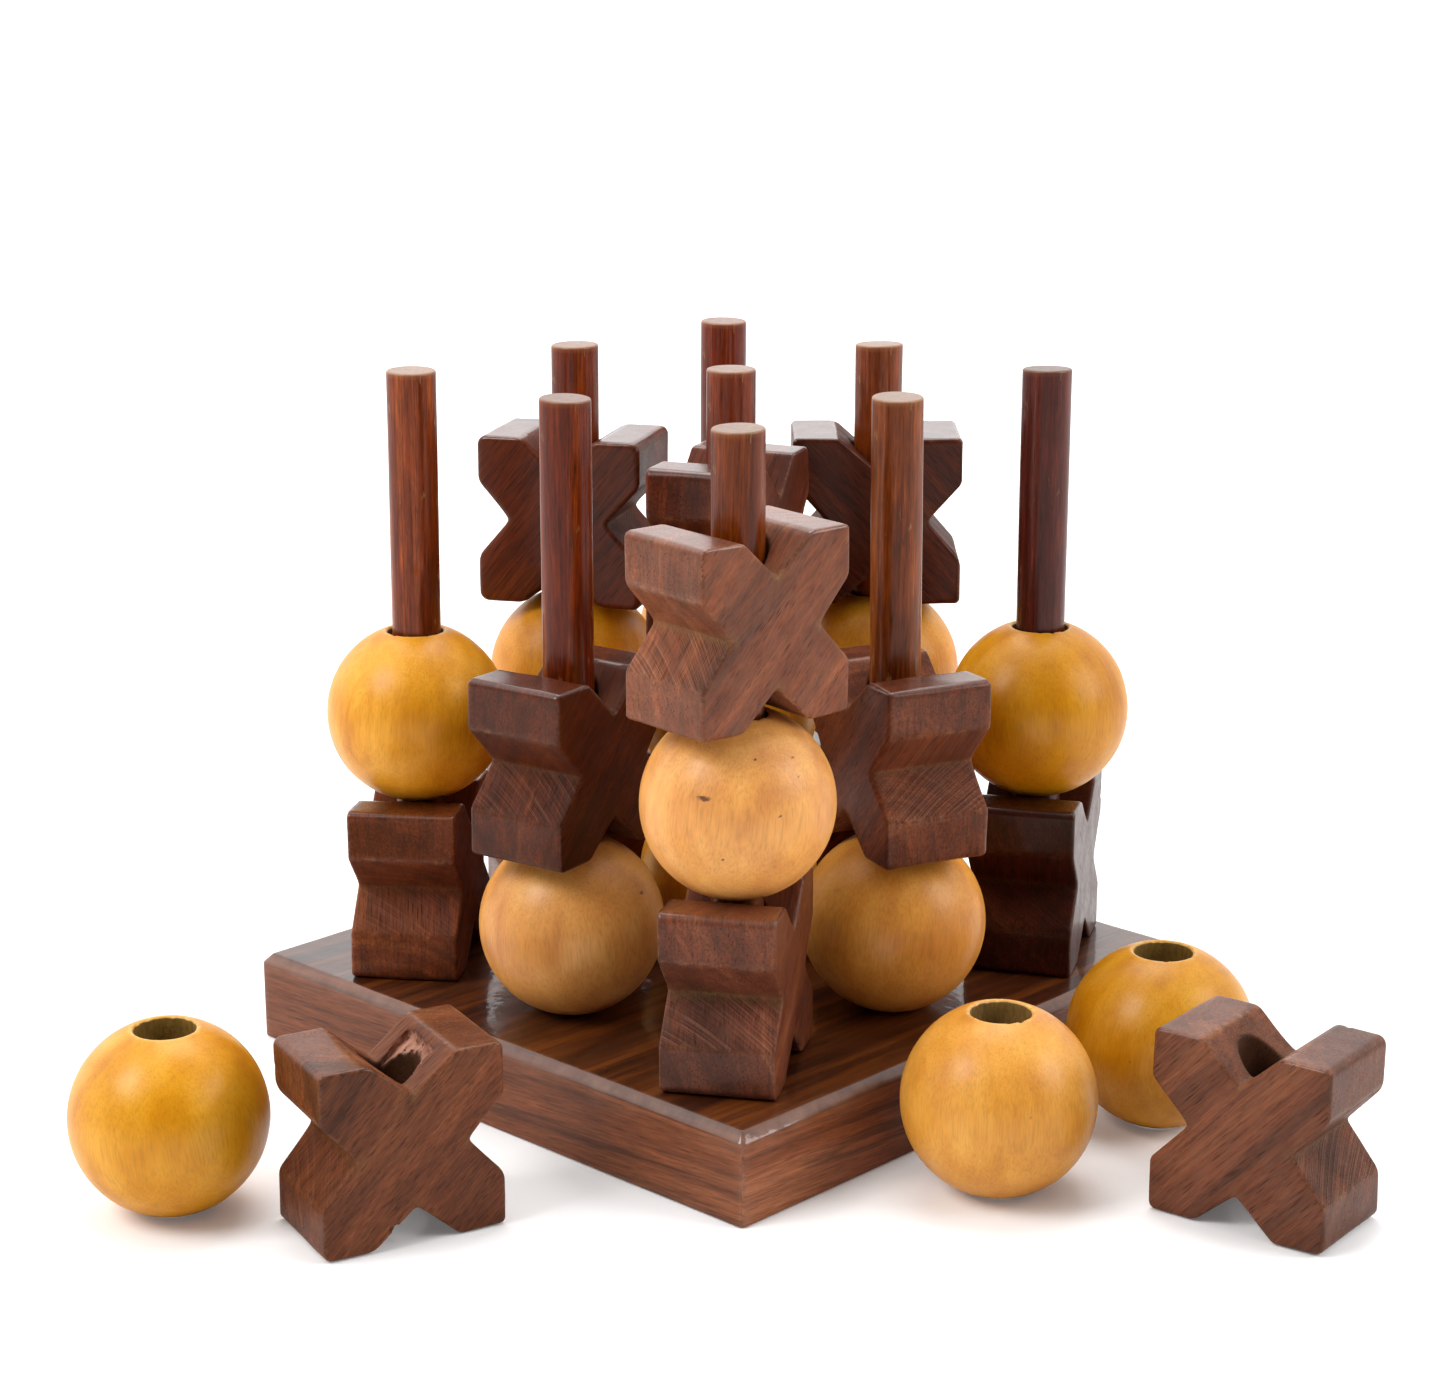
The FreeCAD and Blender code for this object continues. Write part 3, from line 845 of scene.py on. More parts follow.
def rosewood(N, co, dark, mid, light, ring=0.42, contrast=1.0, warp=5.0, pores=0.8, fine=1.0):
    """Colour and height of a dark open-pored hardwood in its own solid space, z along the grain."""
    s = N.separate(co)
    w = N.noise(N.scaled(co, (0.035, 0.035, 0.008)), 1.0, 2.0, 0.5, out="Color")
    w = N.vmath("SUBTRACT", w, (0.5, 0.5, 0.5))
    cw = N.vmath("ADD", co, N.scaled(w, (warp * 2, warp * 2, 0.0)))
    sw = N.separate(cw)
    r = N.vmath("LENGTH", N.combine(sw[0], sw[1], 0.0))
    # broad growth bands, then fine ones
    b1 = N.noise(N.combine(N.math("MULTIPLY", r, ring * 0.45), 3.1, N.math("MULTIPLY", s[2], 0.006)), 1.0, 2.0, 0.55)
    b2 = N.noise(N.combine(N.math("MULTIPLY", r, ring * 2.6), 7.7, N.math("MULTIPLY", s[2], 0.012)), 1.0, 3.0, 0.6)
    patch = N.noise(N.scaled(co, (0.05, 0.05, 0.018)), 1.0, 2.0, 0.5)
    f = N.math("ADD", N.math("MULTIPLY", b1, 0.62), N.math("MULTIPLY", b2, 0.38))
    f = N.math("ADD", f, N.math("MULTIPLY", N.math("SUBTRACT", patch, 0.5), 0.35))
    lo, hi = 0.5 - 0.17 / contrast, 0.5 + 0.17 / contrast
    f = N.remap(f, lo, hi)
    col = N.ramp(f, [(0.0, dark), (0.32, tuple(a * 0.45 + b * 0.55 for a, b in zip(dark, mid))), (0.6, mid), (1.0, light)])
    # fibres: coarse flecks, then hair lines
    fib = N.noise(N.scaled(co, (2.1, 2.1, 0.10)), 1.0, 4.0, 0.72)
    col = N.mix(fine, col, N.mix(1.0, col, N.ramp(fib, [(0.28, 0.36), (0.46, 0.86), (0.55, 1.06), (0.74, 1.62)]), "MULTIPLY"))
    # open pores, long along the grain, dots across it
    v = N.voronoi(N.scaled(co, (1.7, 1.7, 0.12)), 1.0)
    pn = N.noise(N.scaled(co, (0.16, 0.16, 0.05)), 1.0, 1.0)
    pore = N.remap(v, 0.12, 0.30, 1.0, 0.0)
    pore = N.math("MULTIPLY", pore, N.remap(pn, 0.34, 0.55))
    v2 = N.voronoi(N.scaled(co, (3.1, 3.1, 0.22)), 1.0)
    pore = N.math("MAXIMUM", pore, N.math("MULTIPLY", N.remap(v2, 0.12, 0.26, 1.0, 0.0), N.remap(pn, 0.60, 0.42, 0.25, 0.8)))
    col = N.mix(N.math("MULTIPLY", pore, pores), col, tuple(c * 0.30 for c in dark))
    return col, f, fib, pore


def block_material():
    N = Nodes("satin_rosewood_blocks")
    co = N.attr("wood_co", "Vector")
    lc = N.attr("local_co", "Vector")
    edge, notch, bore, valley, torn, dry, gloss = (N.attr(a) for a in ("edge", "notch", "bore", "valley", "torn", "dry", "gloss"))
    col, f, fib, pore = rosewood(N, co, (0.041, 0.0058, 0.0009), (0.114, 0.0188, 0.0033), (0.190, 0.043, 0.0100), ring=0.30, contrast=0.85, pores=0.60)
    band = N.noise(N.scaled(co, (0.24, 0.24, 0.006)), 1.0, 3.0, 0.62)
    col = N.mix(1.0, col, N.ramp(band, [(0.34, 0.72), (0.47, 0.95), (0.54, 1.03), (0.66, 1.24)]), "MULTIPLY")
    # saw marks on the lower faces of the side notches: fine uneven slanting lines
    sl = N.separate(lc)
    own = N.math("ADD", N.math("MULTIPLY", dry, 37.0), N.math("MULTIPLY", N.separate(N.attr("tint", "Vector"))[2], 53.0))
    d = N.math("ADD", N.math("ADD", sl[1], own), N.math("MULTIPLY", N.math("SUBTRACT", sl[2], N.math("ABSOLUTE", sl[0])), 1.1))
    d = N.math("ADD", d, N.math("MULTIPLY", N.math("MULTIPLY", sl[1], sl[1]), 0.014))
    d = N.math("ADD", d, N.math("MULTIPLY", N.noise(lc, 0.08, 1.0), 1.6))
    saw = N.noise(N.combine(N.math("MULTIPLY", d, 1.75), N.math("MULTIPLY", sl[0], 0.03), N.math("MULTIPLY", sl[2], 0.03)), 1.0, 2.0, 0.6)
    low = N.remap(sl[2], 0.5, -0.6)
    sawm = N.math("MULTIPLY", N.math("MULTIPLY", notch, N.remap(N.noise(lc, 0.12, 1.0), 0.34, 0.52, 0.35, 1.0)), N.math("ADD", 0.12, N.math("MULTIPLY", low, 0.88)))
    sawm = N.math("MULTIPLY", sawm, N.remap(dry, 0.14, 0.20, 0.25, 1.0))
    col = N.mix(sawm, col, N.mix(1.0, col, N.ramp(saw, [(0.34, 0.50), (0.47, 0.92), (0.55, 1.08), (0.68, 1.45)]), "MULTIPLY"))
    col = N.mix(N.math("MULTIPLY", sawm, N.remap(saw, 0.50, 0.66, 0.0, 0.26)), col, (0.215, 0.110, 0.075))
    # rows of open pores down the end flats
    flat = N.remap(N.math("ABSOLUTE", sl[0]), BS / 2 - 0.9, BS / 2 - 0.5)
    rows = N.noise(N.combine(N.math("MULTIPLY", sl[1], 1.35), N.math("MULTIPLY", sl[2], 0.10), own), 1.0, 3.0, 0.6)
    dash = N.noise(N.combine(N.math("MULTIPLY", sl[1], 2.2), N.math("MULTIPLY", sl[2], 0.9), own), 1.0, 2.0)
    rows = N.math("MULTIPLY", N.math("MULTIPLY", flat, N.remap(rows, 0.49, 0.60)), N.remap(dash, 0.36, 0.54, 0.25, 1.0))
    col = N.mix(N.math("MULTIPLY", rows, 0.62), col, (0.038, 0.0095, 0.0035))
    speck = N.voronoi(lc, 2.1)
    speck = N.math("MULTIPLY", N.remap(speck, 0.10, 0.26, 1.0, 0.0), N.remap(N.noise(lc, 0.35, 2.0), 0.50, 0.62))
    col = N.mix(N.math("MULTIPLY", N.math("MULTIPLY", speck, notch), 0.55), col, (0.030, 0.009, 0.004))
    # a pale mauve bloom on some pieces, patchy: partly a dry, dusty finish and partly painted sheen
    bloom = N.math("MULTIPLY", dry, N.remap(N.noise(lc, 0.16, 3.0, 0.6), 0.30, 0.70, 0.35, 1.0))
    bloom = N.math("MULTIPLY", bloom, N.math("SUBTRACT", 1.0, pore))
    col = N.mix(N.math("MULTIPLY", bloom, 0.28), col, (0.285, 0.140, 0.095))
    # dust in the valleys, paler worn arrises
    dustn = N.noise(lc, 1.1, 3.0, 0.7)
    col = N.mix(N.math("MULTIPLY", valley, N.remap(dustn, 0.42, 0.62, 0.1, 0.75)), col, (0.120, 0.062, 0.016))
    wearn = N.noise(lc, 0.55, 3.0, 0.65)
    wear = N.math("MULTIPLY", N.math("POWER", edge, 2.2), N.remap(wearn, 0.46, 0.66, 0.03, 0.95))
    wear = N.math("MULTIPLY", wear, N.remap(N.noise(lc, 0.09, 1.0), 0.42, 0.56, 0.25, 1.0))
    col = N.mix(N.math("MULTIPLY", wear, 0.55), col, (0.38, 0.165, 0.078))
    tornc = N.mix(N.noise(N.scaled(co, (1.6, 1.6, 0.3)), 1.0, 3.0, 0.7), (0.10, 0.020, 0.012), (0.58, 0.25, 0.17))
    col = N.mix(N.math("MULTIPLY", torn, 0.9), col, tornc)
    # painted shade: the bore wall is darkened
    col = N.mix(N.math("MULTIPLY", bore, 0.6), col, (0.035, 0.014, 0.005))
    # per-piece shift: partly the piece's own tone and partly painted light and shade
    col = hsv_tint(N, col, N.attr("tint", "Vector"))
    rough = N.math("ADD", N.remap(N.noise(lc, 0.18, 2.0), 0.3, 0.7, 0.30, 0.42), N.math("MULTIPLY", notch, 0.16))
    rough = N.math("ADD", rough, N.math("MULTIPLY", pore, 0.2))
    rough = N.math("ADD", rough, N.math("MULTIPLY", bore, 0.35), clamp=True)
    h = N.math("ADD", N.math("MULTIPLY", fib, 0.5), N.math("MULTIPLY", pore, -0.9))
    nrm = N.bump(h, 0.30, 0.00014)
    hs = N.math("MULTIPLY", saw, sawm)
    nrm = N.bump(hs, 0.80, 0.00040, nrm)
    nrm = N.bump(N.noise(N.scaled(lc, (0.35, 0.35, 0.35)), 1.0, 2.0), 0.12, 0.0006, nrm)
    # the lacquer lies thickest on the flats that face up
    cap = N.remap(sl[2], BS / 2 - 0.9, BS / 2 - 0.5)
    coat = N.math("MULTIPLY", N.math("SUBTRACT", 1.0, notch), N.math("ADD", 0.16, N.math("MULTIPLY", cap, 0.84)))
    coat = N.math("MULTIPLY", N.math("MULTIPLY", coat, gloss), N.math("SUBTRACT", 1.0, N.math("MULTIPLY", dry, 0.45)))
    N.principled(Base_Color=col, Roughness=rough, Normal=nrm, Specular_IOR_Level=0.13, Coat_Weight=coat, Coat_Roughness=0.17)
    return N.mat


def peg_material():
    N = Nodes("satin_rosewood_dowels")
    co = N.attr("wood_co", "Vector")
    lc = N.attr("local_co", "Vector")
    end, edge, foot = N.attr("end"), N.attr("edge"), N.attr("foot")
    col, f, fib, pore = rosewood(N, co, (0.087, 0.0106, 0.0013), (0.167, 0.0240, 0.0036), (0.262, 0.0525, 0.0105), ring=1.0, contrast=1.0, warp=1.6, pores=0.5)
    streak = N.noise(N.scaled(co, (0.75, 0.75, 0.012)), 1.0, 2.0, 0.6)
    col = N.mix(N.math("MULTIPLY", N.remap(streak, 0.55, 0.72), 0.32), col, (0.040, 0.0075, 0.0025))
    mott = N.noise(N.scaled(lc, (0.30, 0.30, 0.085)), 1.0, 3.0, 0.6)
    col = N.mix(1.0, col, N.ramp(mott, [(0.34, 0.80), (0.48, 0.97), (0.56, 1.06), (0.68, 1.26)]), "MULTIPLY")
    # painted reflection: the sawn tops are painted pale grey-pink
    endc = N.mix(N.noise(N.scaled(co, (0.9, 0.9, 0.2)), 1.0, 3.0, 0.6), (0.20, 0.12, 0.085), (0.40, 0.31, 0.26))
    col = N.mix(N.math("MULTIPLY", end, 0.8), col, endc)
    col = N.mix(N.math("MULTIPLY", edge, 0.35), col, (0.42, 0.20, 0.10))
    # painted shade: the peg darkens where it meets the board
    col = N.mix(N.math("MULTIPLY", foot, 0.5), col, (0.03, 0.008, 0.003))
    blem = N.noise(N.scaled(lc, (0.5, 0.5, 0.12)), 1.0, 3.0, 0.6)
    col = N.mix(N.math("MULTIPLY", N.remap(blem, 0.67, 0.74), 0.6), col, (0.36, 0.20, 0.08))
    nick = N.voronoi(N.scaled(lc, (0.55, 0.55, 0.16)), 1.0)
    nick = N.math("MULTIPLY", N.remap(nick, 0.05, 0.13, 1.0, 0.0), N.remap(N.noise(lc, 0.07, 1.0), 0.50, 0.60))
    col = N.mix(N.math("MULTIPLY", nick, 0.55), col, (0.030, 0.008, 0.004))
    # per-piece shift: partly the piece's own tone and partly painted light and shade
    col = hsv_tint(N, col, N.attr("tint", "Vector"))
    rough = N.math("ADD", N.remap(N.noise(N.scaled(lc, (0.4, 0.4, 0.04)), 1.0, 2.0), 0.3, 0.7, 0.26, 0.38), N.math("MULTIPLY", end, 0.12))
    h = N.math("ADD", N.math("MULTIPLY", fib, 0.6), N.math("MULTIPLY", pore, -0.8))
    nrm = N.bump(h, 0.28, 0.00010)
    nrm = N.bump(N.noise(N.scaled(lc, (0.5, 0.5, 0.05)), 1.0, 2.0), 0.14, 0.0005, nrm)
    N.principled(Base_Color=col, Roughness=rough, Normal=nrm, Specular_IOR_Level=0.16,
                 Coat_Weight=0.18, Coat_Roughness=0.16)
    return N.mat


def board_material():
    N = Nodes("glossy_rosewood_board")
    co = N.attr("wood_co", "Vector")
    lc = N.attr("local_co", "Vector")
    edge = N.attr("edge")
    T = T0 if "T0" in globals() else 20.0
    up = N.remap(N.separate(lc)[2], T - 2.6, T - 2.0)
    col, f, fib, pore = rosewood(N, co, (0.095, 0.0235, 0.0068), (0.195, 0.056, 0.0185), (0.300, 0.103, 0.040), ring=0.22, contrast=1.0, warp=7.0, pores=0.45, fine=0.9)
    streak = N.noise(N.scaled(co, (0.34, 0.34, 0.010)), 1.0, 3.0, 0.62)
    col = N.mix(N.math("MULTIPLY", N.remap(streak, 0.54, 0.66), 0.62), col, (0.036, 0.012, 0.006))
    top = N.ramp(N.noise(N.scaled(co, (0.30, 0.30, 0.014)), 1.0, 3.0, 0.6),
                 [(0.36, (0.006, 0.0010, 0.0002)), (0.49, (0.042, 0.0080, 0.0009)), (0.66, (0.150, 0.038, 0.0045))])
    col = N.mix(N.math("MULTIPLY", up, 0.80), col, top)
    # painted highlight: pale colour along the top chamfer and the upright corners
    col = N.mix(N.math("MULTIPLY", edge, N.remap(N.noise(lc, 0.16, 3.0, 0.6), 0.35, 0.65, 0.20, 0.55)), col, (0.30, 0.155, 0.105))
    # painted light: this shift lightens the +X side of the board
    col = hsv_tint(N, col, N.attr("tint", "Vector"))
    rough = N.remap(N.noise(lc, 0.06, 2.0), 0.3, 0.7, 0.34, 0.46)
    h = N.math("ADD", N.math("MULTIPLY", fib, 0.5), N.math("MULTIPLY", pore, -0.8))
    nrm = N.bump(h, 0.16, 0.00010)
    coatn = N.bump(N.noise(lc, 0.10, 3.0, 0.55), 0.20, 0.0011)
    coatn = N.bump(h, 0.05, 0.00006, coatn)
    cr = N.remap(N.noise(lc, 0.09, 3.0, 0.6), 0.3, 0.75, 0.06, 0.14)
    p = N.principled(Base_Color=col, Roughness=rough, Normal=nrm, Specular_IOR_Level=0.22,
                     Coat_Weight=N.remap(up, 0.0, 1.0, 0.08, 0.85), Coat_Roughness=cr, Coat_IOR=1.5)
    N.link(coatn, p.inputs["Coat Normal"])
    return N.mat


def ball_material():
    N = Nodes("satin_golden_hardwood_balls")
    co = N.attr("wood_co", "Vector")
    lc = N.attr("local_co", "Vector")
    bore, rim, knot = N.attr("bore"), N.attr("rim"), N.attr("knot")
    s = N.separate(co)
    w = N.noise(N.scaled(co, (0.05, 0.05, 0.02)), 1.0, 2.0, 0.5, out="Color")
    cw = N.vmath("ADD", co, N.scaled(N.vmath("SUBTRACT", w, (0.5, 0.5, 0.5)), (9.0, 9.0, 0.0)))
    sw = N.separate(cw)
    r = N.vmath("LENGTH", N.combine(sw[0], sw[1], 0.0))
    rings = N.noise(N.combine(N.math("MULTIPLY", r, 0.40), 1.3, N.math("MULTIPLY", s[2], 0.01)), 1.0, 3.0, 0.6)
    blot = N.noise(N.scaled(co, (0.11, 0.11, 0.07)), 1.0, 3.0, 0.55)
    f = N.math("ADD", N.math("MULTIPLY", rings, 0.30), N.math("MULTIPLY", blot, 0.70))
    f = N.remap(f, 0.33, 0.66)
    col = N.ramp(f, [(0.0, (0.560, 0.197, 0.0042)), (0.45, (0.675, 0.268, 0.0088)), (1.0, (0.775, 0.350, 0.029))])
    fib = N.noise(N.scaled(co, (2.6, 2.6, 0.16)), 1.0, 4.0, 0.65)
    col = N.mix(1.0, col, N.ramp(fib, [(0.28, 0.76), (0.5, 1.0), (0.75, 1.10)]), "MULTIPLY")
    fleck = N.voronoi(N.scaled(co, (1.1, 1.1, 0.32)), 1.0)
    fm = N.math("MULTIPLY", N.remap(fleck, 0.06, 0.16, 1.0, 0.0), N.remap(N.noise(co, 0.25, 1.0), 0.52, 0.66))
    col = N.mix(N.math("MULTIPLY", fm, 0.35), col, (0.30, 0.12, 0.02))
    kn = N.noise(lc, 1.6, 3.0, 0.7)
    col = N.mix(N.remap(N.math("MULTIPLY", knot, N.remap(kn, 0.3, 0.6, 0.6, 1.3)), 0.30, 0.70, 0.0, 0.92), col, (0.085, 0.026, 0.007))
    rimn = N.noise(N.scaled(lc, (0.8, 0.8, 0.8)), 1.0, 3.0, 0.6)
    col = N.mix(N.math("MULTIPLY", rim, N.remap(rimn, 0.35, 0.65, 0.15, 0.8)), col, (0.80, 0.50, 0.18))
    # painted shade: the bore wall is darkened inside the hole
    borec = N.mix(N.noise(N.scaled(lc, (1.4, 1.4, 0.4)), 1.0, 3.0, 0.6), (0.045, 0.026, 0.004), (0.30, 0.17, 0.030))
    col = N.mix(N.math("MULTIPLY", bore, 0.92), col, borec)
    # per-piece shift: partly the ball's own tone and partly painted light and shade
    col = hsv_tint(N, col, N.attr("tint", "Vector"))
    rough = N.math("ADD", N.remap(N.noise(lc, 0.12, 2.0), 0.3, 0.7, 0.33, 0.45), N.math("MULTIPLY", bore, 0.4))
    nrm = N.bump(fib, 0.10, 0.00008)
    nrm = N.bump(N.noise(lc, 0.16, 2.0), 0.10, 0.0009, nrm)
    nrm = N.bump(N.math("MULTIPLY", N.noise(N.scaled(lc, (1.2, 1.2, 0.5)), 1.0, 3.0, 0.7), bore), 0.6, 0.0006, nrm)
    N.principled(Base_Color=col, Roughness=rough, Normal=nrm, Specular_IOR_Level=0.30,
                 Coat_Weight=0.08, Coat_Roughness=0.25)
    return N.mat


# -------------------------------------------------------------------- build
PEGS = [n for n in frame["nodes"] if n.startswith("peg_")]
T0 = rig.box("base_board")[1].z / MM
AZ = 43.58
CAM_DIR = math.radians(AZ) - math.pi / 2
EYE = np.array([467.6, -491.4, 268.2])
AIM = np.array([0.0, 0.0, 79.77])
SIDE = np.array([math.cos(math.radians(AZ)), math.sin(math.radians(AZ)), 0.0])
LOOK = (EYE - AIM) / np.linalg.norm(EYE - AIM)
RISE = np.cross(LOOK, SIDE)

rng = np.random.default_rng(20)
M_BLOCK, M_PEG, M_BOARD, M_BALL = block_material(), peg_material(), board_material(), ball_material()

body_of = {}
for b, members in frame["record"]["behaviour"]["bodies"].items():
    for n in members:
        body_of[n] = b
slot_of = {s["node"]: s["material_slot"] for s in frame["record"]["subparts"]}


def place(ob, node, mat):
    ob.data.materials.append(mat)
    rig.replaces(ob, node)
    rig.ride(ob, body_of[node])
    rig.slot(ob, slot_of[node])


place(make_board("base_board"), "base_board", M_BOARD)

# hue, saturation and value shifts per peg: partly each peg's own tone and partly painted light and shade, such as the
# darkened peg_right
PEG_TINT = {"peg_front": (0.006, 0.02, -0.06), "peg_front_left": (-0.002, 0.02, -0.20), "peg_front_right": (0.010, 0.0, 0.0),
            "peg_left": (0.004, 0.0, 0.15), "peg_right": (-0.006, -0.06, -0.42), "peg_centre": (0.0, 0.0, 0.0),
            "peg_back_left": (0.0, 0.03, 0.05), "peg_back_right": (0.006, 0.0, 0.1), "peg_back": (-0.004, 0.02, 0.0)}
# degrees each peg stands out of upright, towards the viewer's right
LEAN = {"peg_back": 0.28, "peg_centre": 0.25, "peg_back_left": 0.25, "peg_back_right": 0.25, "peg_front_right": -0.28, "peg_left": 0.25}
for i, node in enumerate(sorted(PEGS)):
    k = {"seed": 300 + i * 7, "slope": rng.uniform(-0.035, 0.035, 2), "lean": rng.uniform(-0.02, 0.02, 2),
         "pith": rng.uniform(-14, 14, 2) + np.sign(rng.uniform(-1, 1, 2)) * 9, "along": rng.uniform(0, 400),
         "tint": PEG_TINT.get(node, (0, 0, 0)), "dents": [], "off": math.tan(math.radians(LEAN.get(node, 0.0)))}
    for _ in range(3):
        k["dents"].append((rng.uniform(30, 150), rng.uniform(-math.pi, math.pi), rng.uniform(0.1, 0.25), rng.uniform(0.5, 1.8), rng.uniform(0.4, 1.0)))
    if node == "peg_left":
        k["dents"].append((112.0, math.radians(-38), 0.5, 0.9, 0.8))
    place(make_peg(node, k), node, M_PEG)

# hue, saturation and value shifts per X piece: partly each piece's own tone and partly painted light and shade, such as
# the darkened x_right_low and x_back_right_top
X_TINT = {"x_front_top": (0.006, -0.03, 0.45), "x_front_low": (0.003, -0.05, 0.10), "x_front_left_mid": (0.002, 0.0, -0.20),
          "x_front_right_mid": (0.004, -0.04, 0.18), "x_left_low": (0.005, -0.02, 0.20), "x_right_low": (0.0, 0.0, -0.50),
          "x_loose_left": (0.009, -0.06, 0.20), "x_loose_right": (0.008, -0.07, 0.16), "x_back_left_top": (0.0, 0.0, -0.10),
          "x_back_right_top": (0.0, 0.0, -0.35), "x_centre_top": (0.0, 0.0, -0.05)}
# how dry and dusty the finish is; this also sets the pale bloom, which is partly painted sheen
X_DRY = {"x_front_top": 0.55, "x_front_low": 0.40, "x_loose_right": 0.45, "x_loose_left": 0.15, "x_front_right_mid": 0.30, "x_front_left_mid": 0.20}
xs = sorted(n for n in frame["nodes"] if n.startswith("x_"))
for i, node in enumerate(xs):
    sgn = 1 if node in ("x_front_top", "x_loose_left", "x_loose_right", "x_back_left_top") else rng.choice([-1, 1])
    ga = math.radians(rng.uniform(40, 52))
    k = {"seed": 1000 + 131 * i, "skew": rng.uniform(-1, 1), "corner": rng.uniform(1.3, 2.2), "ease": rng.uniform(0.6, 0.9),
         "dn": rng.uniform(-0.15, 0.25, 4), "dd": rng.uniform(-0.3, 0.4, 4), "off": rng.uniform(-0.25, 0.25, 4),
         "saw": rng.uniform(0.004, 0.012), "grain": (sgn * math.cos(ga), rng.uniform(-0.12, 0.12), math.sin(ga)),
         "pith": rng.uniform(-1, 1, 2) * 30 + np.sign(rng.uniform(-1, 1, 2)) * 35, "along": rng.uniform(0, 500),
         "tint": X_TINT.get(node, (0.0, 0.0, rng.uniform(-0.1, 0.1))), "chips": [], "torn": [],
         "gloss": 0.35 if "loose" in node else 1.0, "dry": X_DRY.get(node, 0.15), "dust": 1.0 if node in ("x_front_top", "x_front_low") else 0.45}
    h = BS / 2
    for _ in range(5):
        e = rng.integers(0, 3)
        sy = rng.choice([-1, 1])
        sx, sz = rng.choice([-1, 1]), rng.choice([-1, 1])
        if e == 0:
            c = (sx * rng.uniform(NH, h), sy * BT / 2, sz * h)
        elif e == 1:
            c = (sx * h, sy * BT / 2, sz * rng.uniform(NH, h))
        else:
            c = (sx * NH, rng.uniform(-BT / 2, BT / 2), sz * h)
        k["chips"].append((*c, *rng.uniform(0.35, 0.8, 3)))
    if node == "x_loose_left":
        k["torn"] = [(1, 6.2, 1.15)]
        k["chips"].append((-4.4, BT / 2 + 0.3, -15.4, 1.5, 1.6, 0.8))
    place(make_x(node, k), node, M_BLOCK)

# across, up, half width, half height, depth
KNOTS = {"o_front_mid": [(-6.6, 1.2, 1.3, 0.55, 0.10), (-7.6, 1.5, 0.6, 0.35, 0.05), (8.2, -2.2, 0.35, 0.30, 0.04), (12.0, 5.4, 0.3, 0.3, 0.03),
                         (3.4, 9.0, 0.25, 0.3, 0.03), (-3.0, -11.0, 0.3, 0.25, 0.03), (10.8, 9.4, 0.5, 0.25, 0.04)],
         "o_front_left_low": [(15.5, 7.0, 0.5, 0.35, 0.05), (-4.0, -3.0, 0.25, 0.25, 0.03)],
         "o_loose_rear": [(-5.2, 6.0, 0.35, 0.3, 0.05), (-9.0, -4.0, 0.25, 0.3, 0.03)],
         "o_loose_front": [(4.4, -1.5, 0.3, 0.35, 0.03)],
         "o_left_mid": [(-6.0, 8.2, 0.3, 0.25, 0.03)]}
# hue, saturation and value shifts per ball: partly each ball's own tone and partly painted light and shade, such as the
# darkened o_right_mid
BALL_TINT = {"o_front_mid": (-0.003, -0.10, 0.10), "o_front_left_low": (-0.003, -0.09, 0.02), "o_front_right_low": (-0.002, -0.05, 0.05),
             "o_left_mid": (0.002, 0.0, 0.06), "o_right_mid": (0.0, 0.02, -0.17), "o_loose_left": (0.003, 0.01, -0.06),
             "o_loose_front": (0.0, -0.04, -0.02), "o_loose_rear": (0.003, 0.01, -0.19)}
for i, node in enumerate(sorted(n for n in frame["nodes"] if n.startswith("o_"))):
    k = {"knots": KNOTS.get(node, []), "seed": 5000 + 77 * i, "yaw": rng.uniform(0, 2 * math.pi), "grain": (rng.uniform(-0.12, 0.12), rng.uniform(-0.12, 0.12), 1),
         "pith": rng.uniform(-1, 1, 2) * 20 + np.sign(rng.uniform(-1, 1, 2)) * 25, "along": rng.uniform(0, 500),
         "tint": BALL_TINT.get(node, (0, 0, rng.uniform(-0.05, 0.05)))}
    place(make_ball(node, k), node, M_BALL)

# ------------------------------------------------------------------- stage
W_BACK, W_SIDE, W_FRONT, W_LEFT, W_TOP, FLOOR_LIFT = 1.7, 0.30, 0.06, 0.70, 0.40, 0.10
fm = bpy.data.meshes.new("floor")
R = 9.0
n = 96
fv = [(R * math.cos(2 * math.pi * i / n), R * math.sin(2 * math.pi * i / n), -0.0002) for i in range(n)]
fm.from_pydata(fv, [], [tuple(range(n))])
floor = bpy.data.objects.new("floor", fm)
bpy.context.scene.collection.objects.link(floor)
N = Nodes("pale_floor")
lp = N.new("ShaderNodeLightPath")
gp = N.new("ShaderNodeNewGeometry")
far = N.remap(N.vmath("LENGTH", gp.outputs["Position"]), 0.30, 1.6)
lift = N.math("MULTIPLY", lp.outputs["Is Camera Ray"], N.remap(far, 0.0, 1.0, FLOOR_LIFT, 1.0))
N.principled(Base_Color=N.mix(lp.outputs["Is Camera Ray"], (0.91, 0.90, 0.89), (0.93, 0.93, 0.93)), Roughness=0.75, Specular_IOR_Level=0.1,
             Emission_Color=(1.0, 1.0, 1.0), Emission_Strength=lift)
fm.materials.append(N.mat)
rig.stage(floor)

cd = Vector((math.sin(math.radians(AZ)), -math.cos(math.radians(AZ)), 0))
cr = Vector((math.cos(math.radians(AZ)), math.sin(math.radians(AZ)), 0))

sc = bpy.context.scene
world = bpy.data.worlds.new("studio")
sc.world = world
world.use_nodes = True
W = Nodes.__new__(Nodes)
W.t = world.node_tree
W.t.nodes.clear()
W.out = W.t.nodes.new("ShaderNodeOutputWorld")
tc = W.new("ShaderNodeTexCoord").outputs["Generated"]
front = W.vmath("DOT_PRODUCT", tc, tuple(cd))
left = W.vmath("DOT_PRODUCT", tc, tuple(-cr))
up = W.separate(tc)[2]
